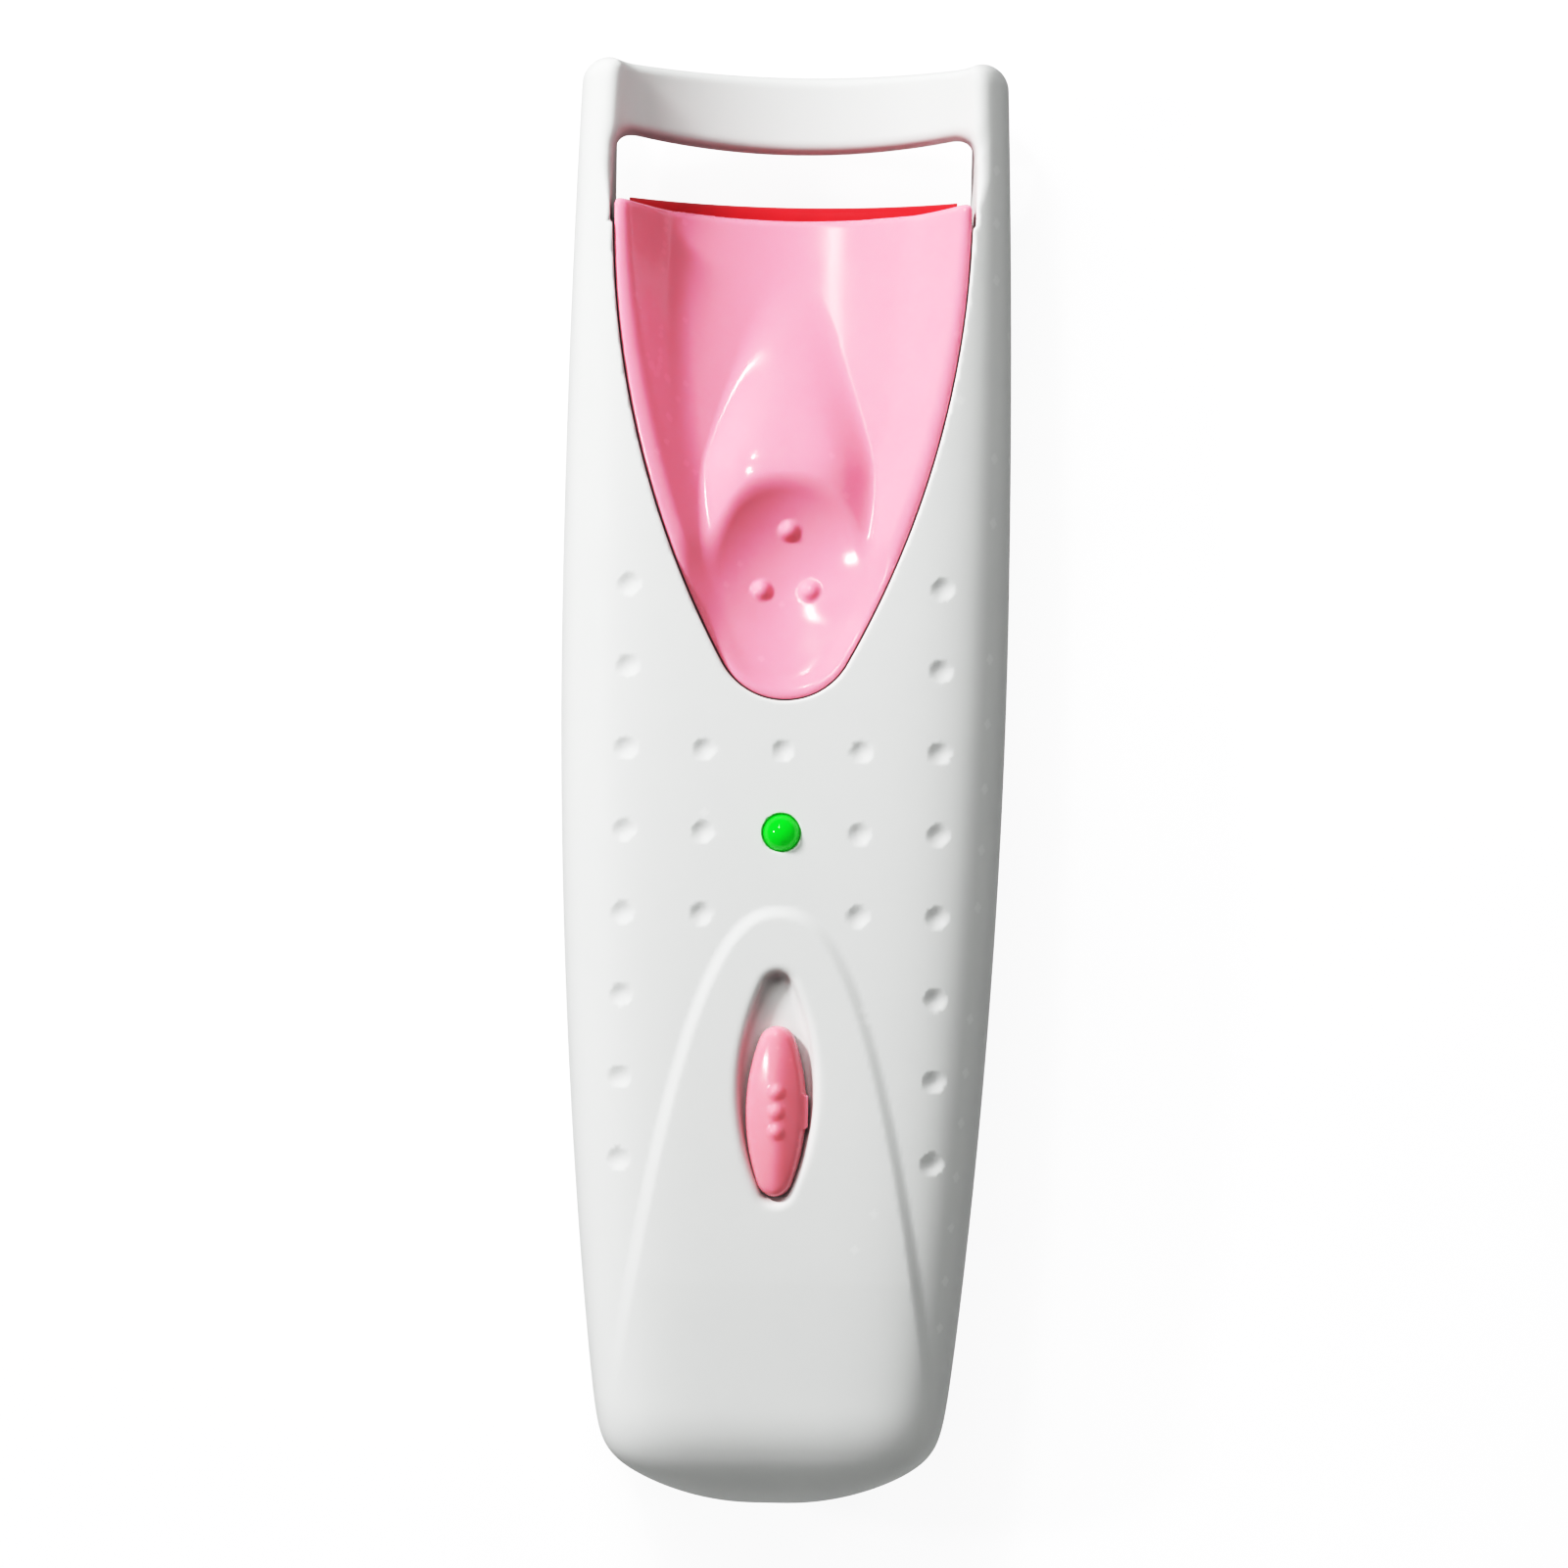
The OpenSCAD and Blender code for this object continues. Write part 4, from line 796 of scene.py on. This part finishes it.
def make_pieces():
    dress(grow("shell_front", front_shell, (-18.4, -59, 2), (18.4, 59, 22.6), CELL),
          WHITE, "body", "shell", "front_shell")
    dress(grow("shell_back", back_shell, (-18.4, -59, -0.1), (18.4, 47, 12.2), CELL),
          WHITE, "body", "shell", "back_shell")
    dress(grow("door", battery_door, (-12.5, -59, -0.1), (12.5, 0.3, 1.7), FINE),
          WHITE, "door", "shell", "battery_door")
    dress(grow("slider", slider_field, (-14.6, 6.6, 5.5), (14.6, 47.7, 22.2), FINE * 1.25),
          PINK, "slider", "pink_cover", "press_slider")
    dress(grow("pad", heat_pad, (-13.6, 44.5, 6.5), (13.6, 48, 16.5), FINE),
          RED, "slider", "heat_pad", "heat_pad")
    dress(grow("knob", switch_knob, (-2.6, KNOB_Y - 7.1, 18), (2.8, KNOB_Y + 7.1, 23.4), FINE * 0.7),
          KNOB_PINK, "switch", "pink_knob", "switch_knob")
    low, profile = lamp_profile()
    dress(lathe("lamp", profile, (0, LED_Y, low)), GREEN, "body", "green_led", "status_led")
    for side, node in ((-1, "return_spring_left"), (1, "return_spring_right")):
        path = coil(7, 2, 2, SPRING_HIGH_Y - SPRING_LOW_Y - 0.6, 24)
        path = path + [side * SPRING_X, SPRING_LOW_Y + 0.3, SPRING_Z]
        spring = sweep(node.replace("return_", ""), path, 0.22, 10)
        dress(spring, STEEL, "body", "spring_steel", node)
        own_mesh(spring)
    wires = [sweep(f"heater_wire_{side}", wire_route(side), 0.5, 14) for side in (-1, 1)]
    for wire in wires:
        wire.data.materials.append(WIRE_RED)
        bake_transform(wire)
        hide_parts("heater_wires")


def repaint_nodes():
    high = BAY_HIGH_Y - 0.35
    jackets = {"battery_left": cell_jacket("jacket_left", high - CELL_LENGTH, high),
               "battery_right": cell_jacket("jacket_right", BAY_LOW_Y + 0.35 + CELL_LENGTH, BAY_LOW_Y + 0.35)}
    looks = {"heater_plate": ALUMINIUM, "heating_element": CERAMIC, "battery_holder": CREAM,
             "contact_positive": NICKEL, "contact_negative": NICKEL, "contact_bridge": NICKEL,
             "circuit_board": BOARD, "board_resistors": BLACK, "board_transistor": BLACK,
             "led_leads": NICKEL, "switch_housing": NICKEL, "switch_terminals": NICKEL,
             "switch_actuator": BLACK, "shell_screws": ZINC, "board_screws": ZINC, **jackets}
    for node, look in looks.items():
        repaint(node, look)


# ---------------------------------------------------------------- table, light and camera

def make_table():
    mesh = bpy.data.meshes.new("table")
    half = 1.6
    corners = [(-half, -half, 0), (half, -half, 0), (half, half, 0), (-half, half, 0)]
    mesh.from_pydata(corners, [], [(0, 1, 2, 3)])
    table = bpy.data.objects.new("table", mesh)
    bpy.context.scene.collection.objects.link(table)
    table.data.materials.append(table_top())
    return table


def area_light(name, place, target, size, power):
    data = bpy.data.lights.new(name, "AREA")
    data.shape = "RECTANGLE"
    data.size, data.size_y = size
    data.energy = power
    light = bpy.data.objects.new(name, data)
    light.location = place
    light.rotation_mode = "QUATERNION"
    light.rotation_quaternion = (Vector(target) - Vector(place)).to_track_quat("-Z", "Y")
    light.visible_camera = False
    bpy.context.scene.collection.objects.link(light)
    return light


def table_only(name, table, state):
    """A light-linking set that holds the table, either as the only thing lit or as left out."""
    group = bpy.data.collections.new(name)
    group.objects.link(table)
    group.collection_objects[0].light_linking.link_state = state
    return group


def make_light(table):
    # the key comes low from the upper left; it leaves the table to the lights overhead
    key = area_light("key_left", (-0.37, 0.32, 0.28), (0, 0.02, 0.015), (0.08, 0.10), 3.3)
    key.visible_glossy = False
    key.light_linking.receiver_collection = table_only("lit_by_key", table, "EXCLUDE")
    overhead = area_light("overhead", (-0.15, 0.38, 0.45), (0, 0.02, 0), (0.35, 0.35), 0.92)
    fill = area_light("fill_right", (0.30, 0.30, 0.42), (0, 0.04, 0), (0.2, 0.2), 0.28)
    overhead.visible_glossy = fill.visible_glossy = False
    # low lamps keep the far side and the tail readable from the other views
    for name, place, power in (("low_right", (0.45, 0.10, 0.06), 0.24),
                               ("low_tail", (0.05, -0.50, 0.06), 0.5)):
        area_light(name, place, (0, 0, 0.01), (0.3, 0.06), power).visible_glossy = False
    wash = area_light("table_wash", (0, 0, 4.0), (0, 0, 0), (3.0, 3.0), 190.0)
    wash.light_linking.receiver_collection = table_only("lit_by_wash", table, "INCLUDE")
    wash.light_linking.blocker_collection = table_only("blocks_wash", table, "INCLUDE")
    # small lamps for the sharp highlights on the glossy cover
    for name, place, size in (("spark_head", (-0.16, 0.34, 0.50), 0.05),
                              ("spark_far", (-0.12, 0.46, 0.38), 0.03),
                              ("spark_side", (-0.41, 0.05, 0.38), 0.05)):
        area_light(name, place, (0, 0.01, 0.01), (size, size), 140 * size * size)
    world = bpy.data.worlds.new("studio")
    world.use_nodes = True
    backdrop = world.node_tree.nodes["Background"]
    backdrop.inputs["Color"].default_value = (1, 1, 1, 1)
    # the backdrop is seen white, but lights the curler only a little
    path = world.node_tree.nodes.new("ShaderNodeLightPath")
    level = world.node_tree.nodes.new("ShaderNodeMapRange")
    level.inputs["To Min"].default_value, level.inputs["To Max"].default_value = 0.11, 1.1
    world.node_tree.links.new(path.outputs["Is Camera Ray"], level.inputs["Value"])
    world.node_tree.links.new(level.outputs["Result"], backdrop.inputs["Strength"])
    bpy.context.scene.world = world


def make_camera():
    """Straight above the curler, turned a little, so that it leans as in the photograph."""
    distance, plane_z, frame_width, lean = 0.45, 0.010, 0.12904, math.radians(1.1)
    data = bpy.data.cameras.new("camera")
    data.sensor_width = 36.0
    data.lens = data.sensor_width * distance / frame_width
    data.clip_start, data.clip_end = 0.05, 20
    camera = bpy.data.objects.new("camera", data)
    camera.location = (0.00014, -0.00004, plane_z + distance)
    camera.rotation_euler = (0, 0, lean)
    bpy.context.scene.collection.objects.link(camera)
    bpy.context.scene.camera = camera


def set_contrast():
    """A photograph's response: firmer shadows, and highlights that ease into white."""
    view = bpy.context.scene.view_settings
    view.view_transform = "Standard"
    view.use_curve_mapping = True
    view.curve_mapping.white_level = (1.4, 1.4, 1.4)
    curve = view.curve_mapping.curves[3]
    for scene_light, shown in ((0.16, 0.105), (0.35, 0.39), (0.61, 0.70), (0.95, 0.88)):
        curve.points.new(scene_light / 1.4, shown)
    view.curve_mapping.update()


make_camera()
make_pieces()
repaint_nodes()
make_light(make_table())
set_contrast()
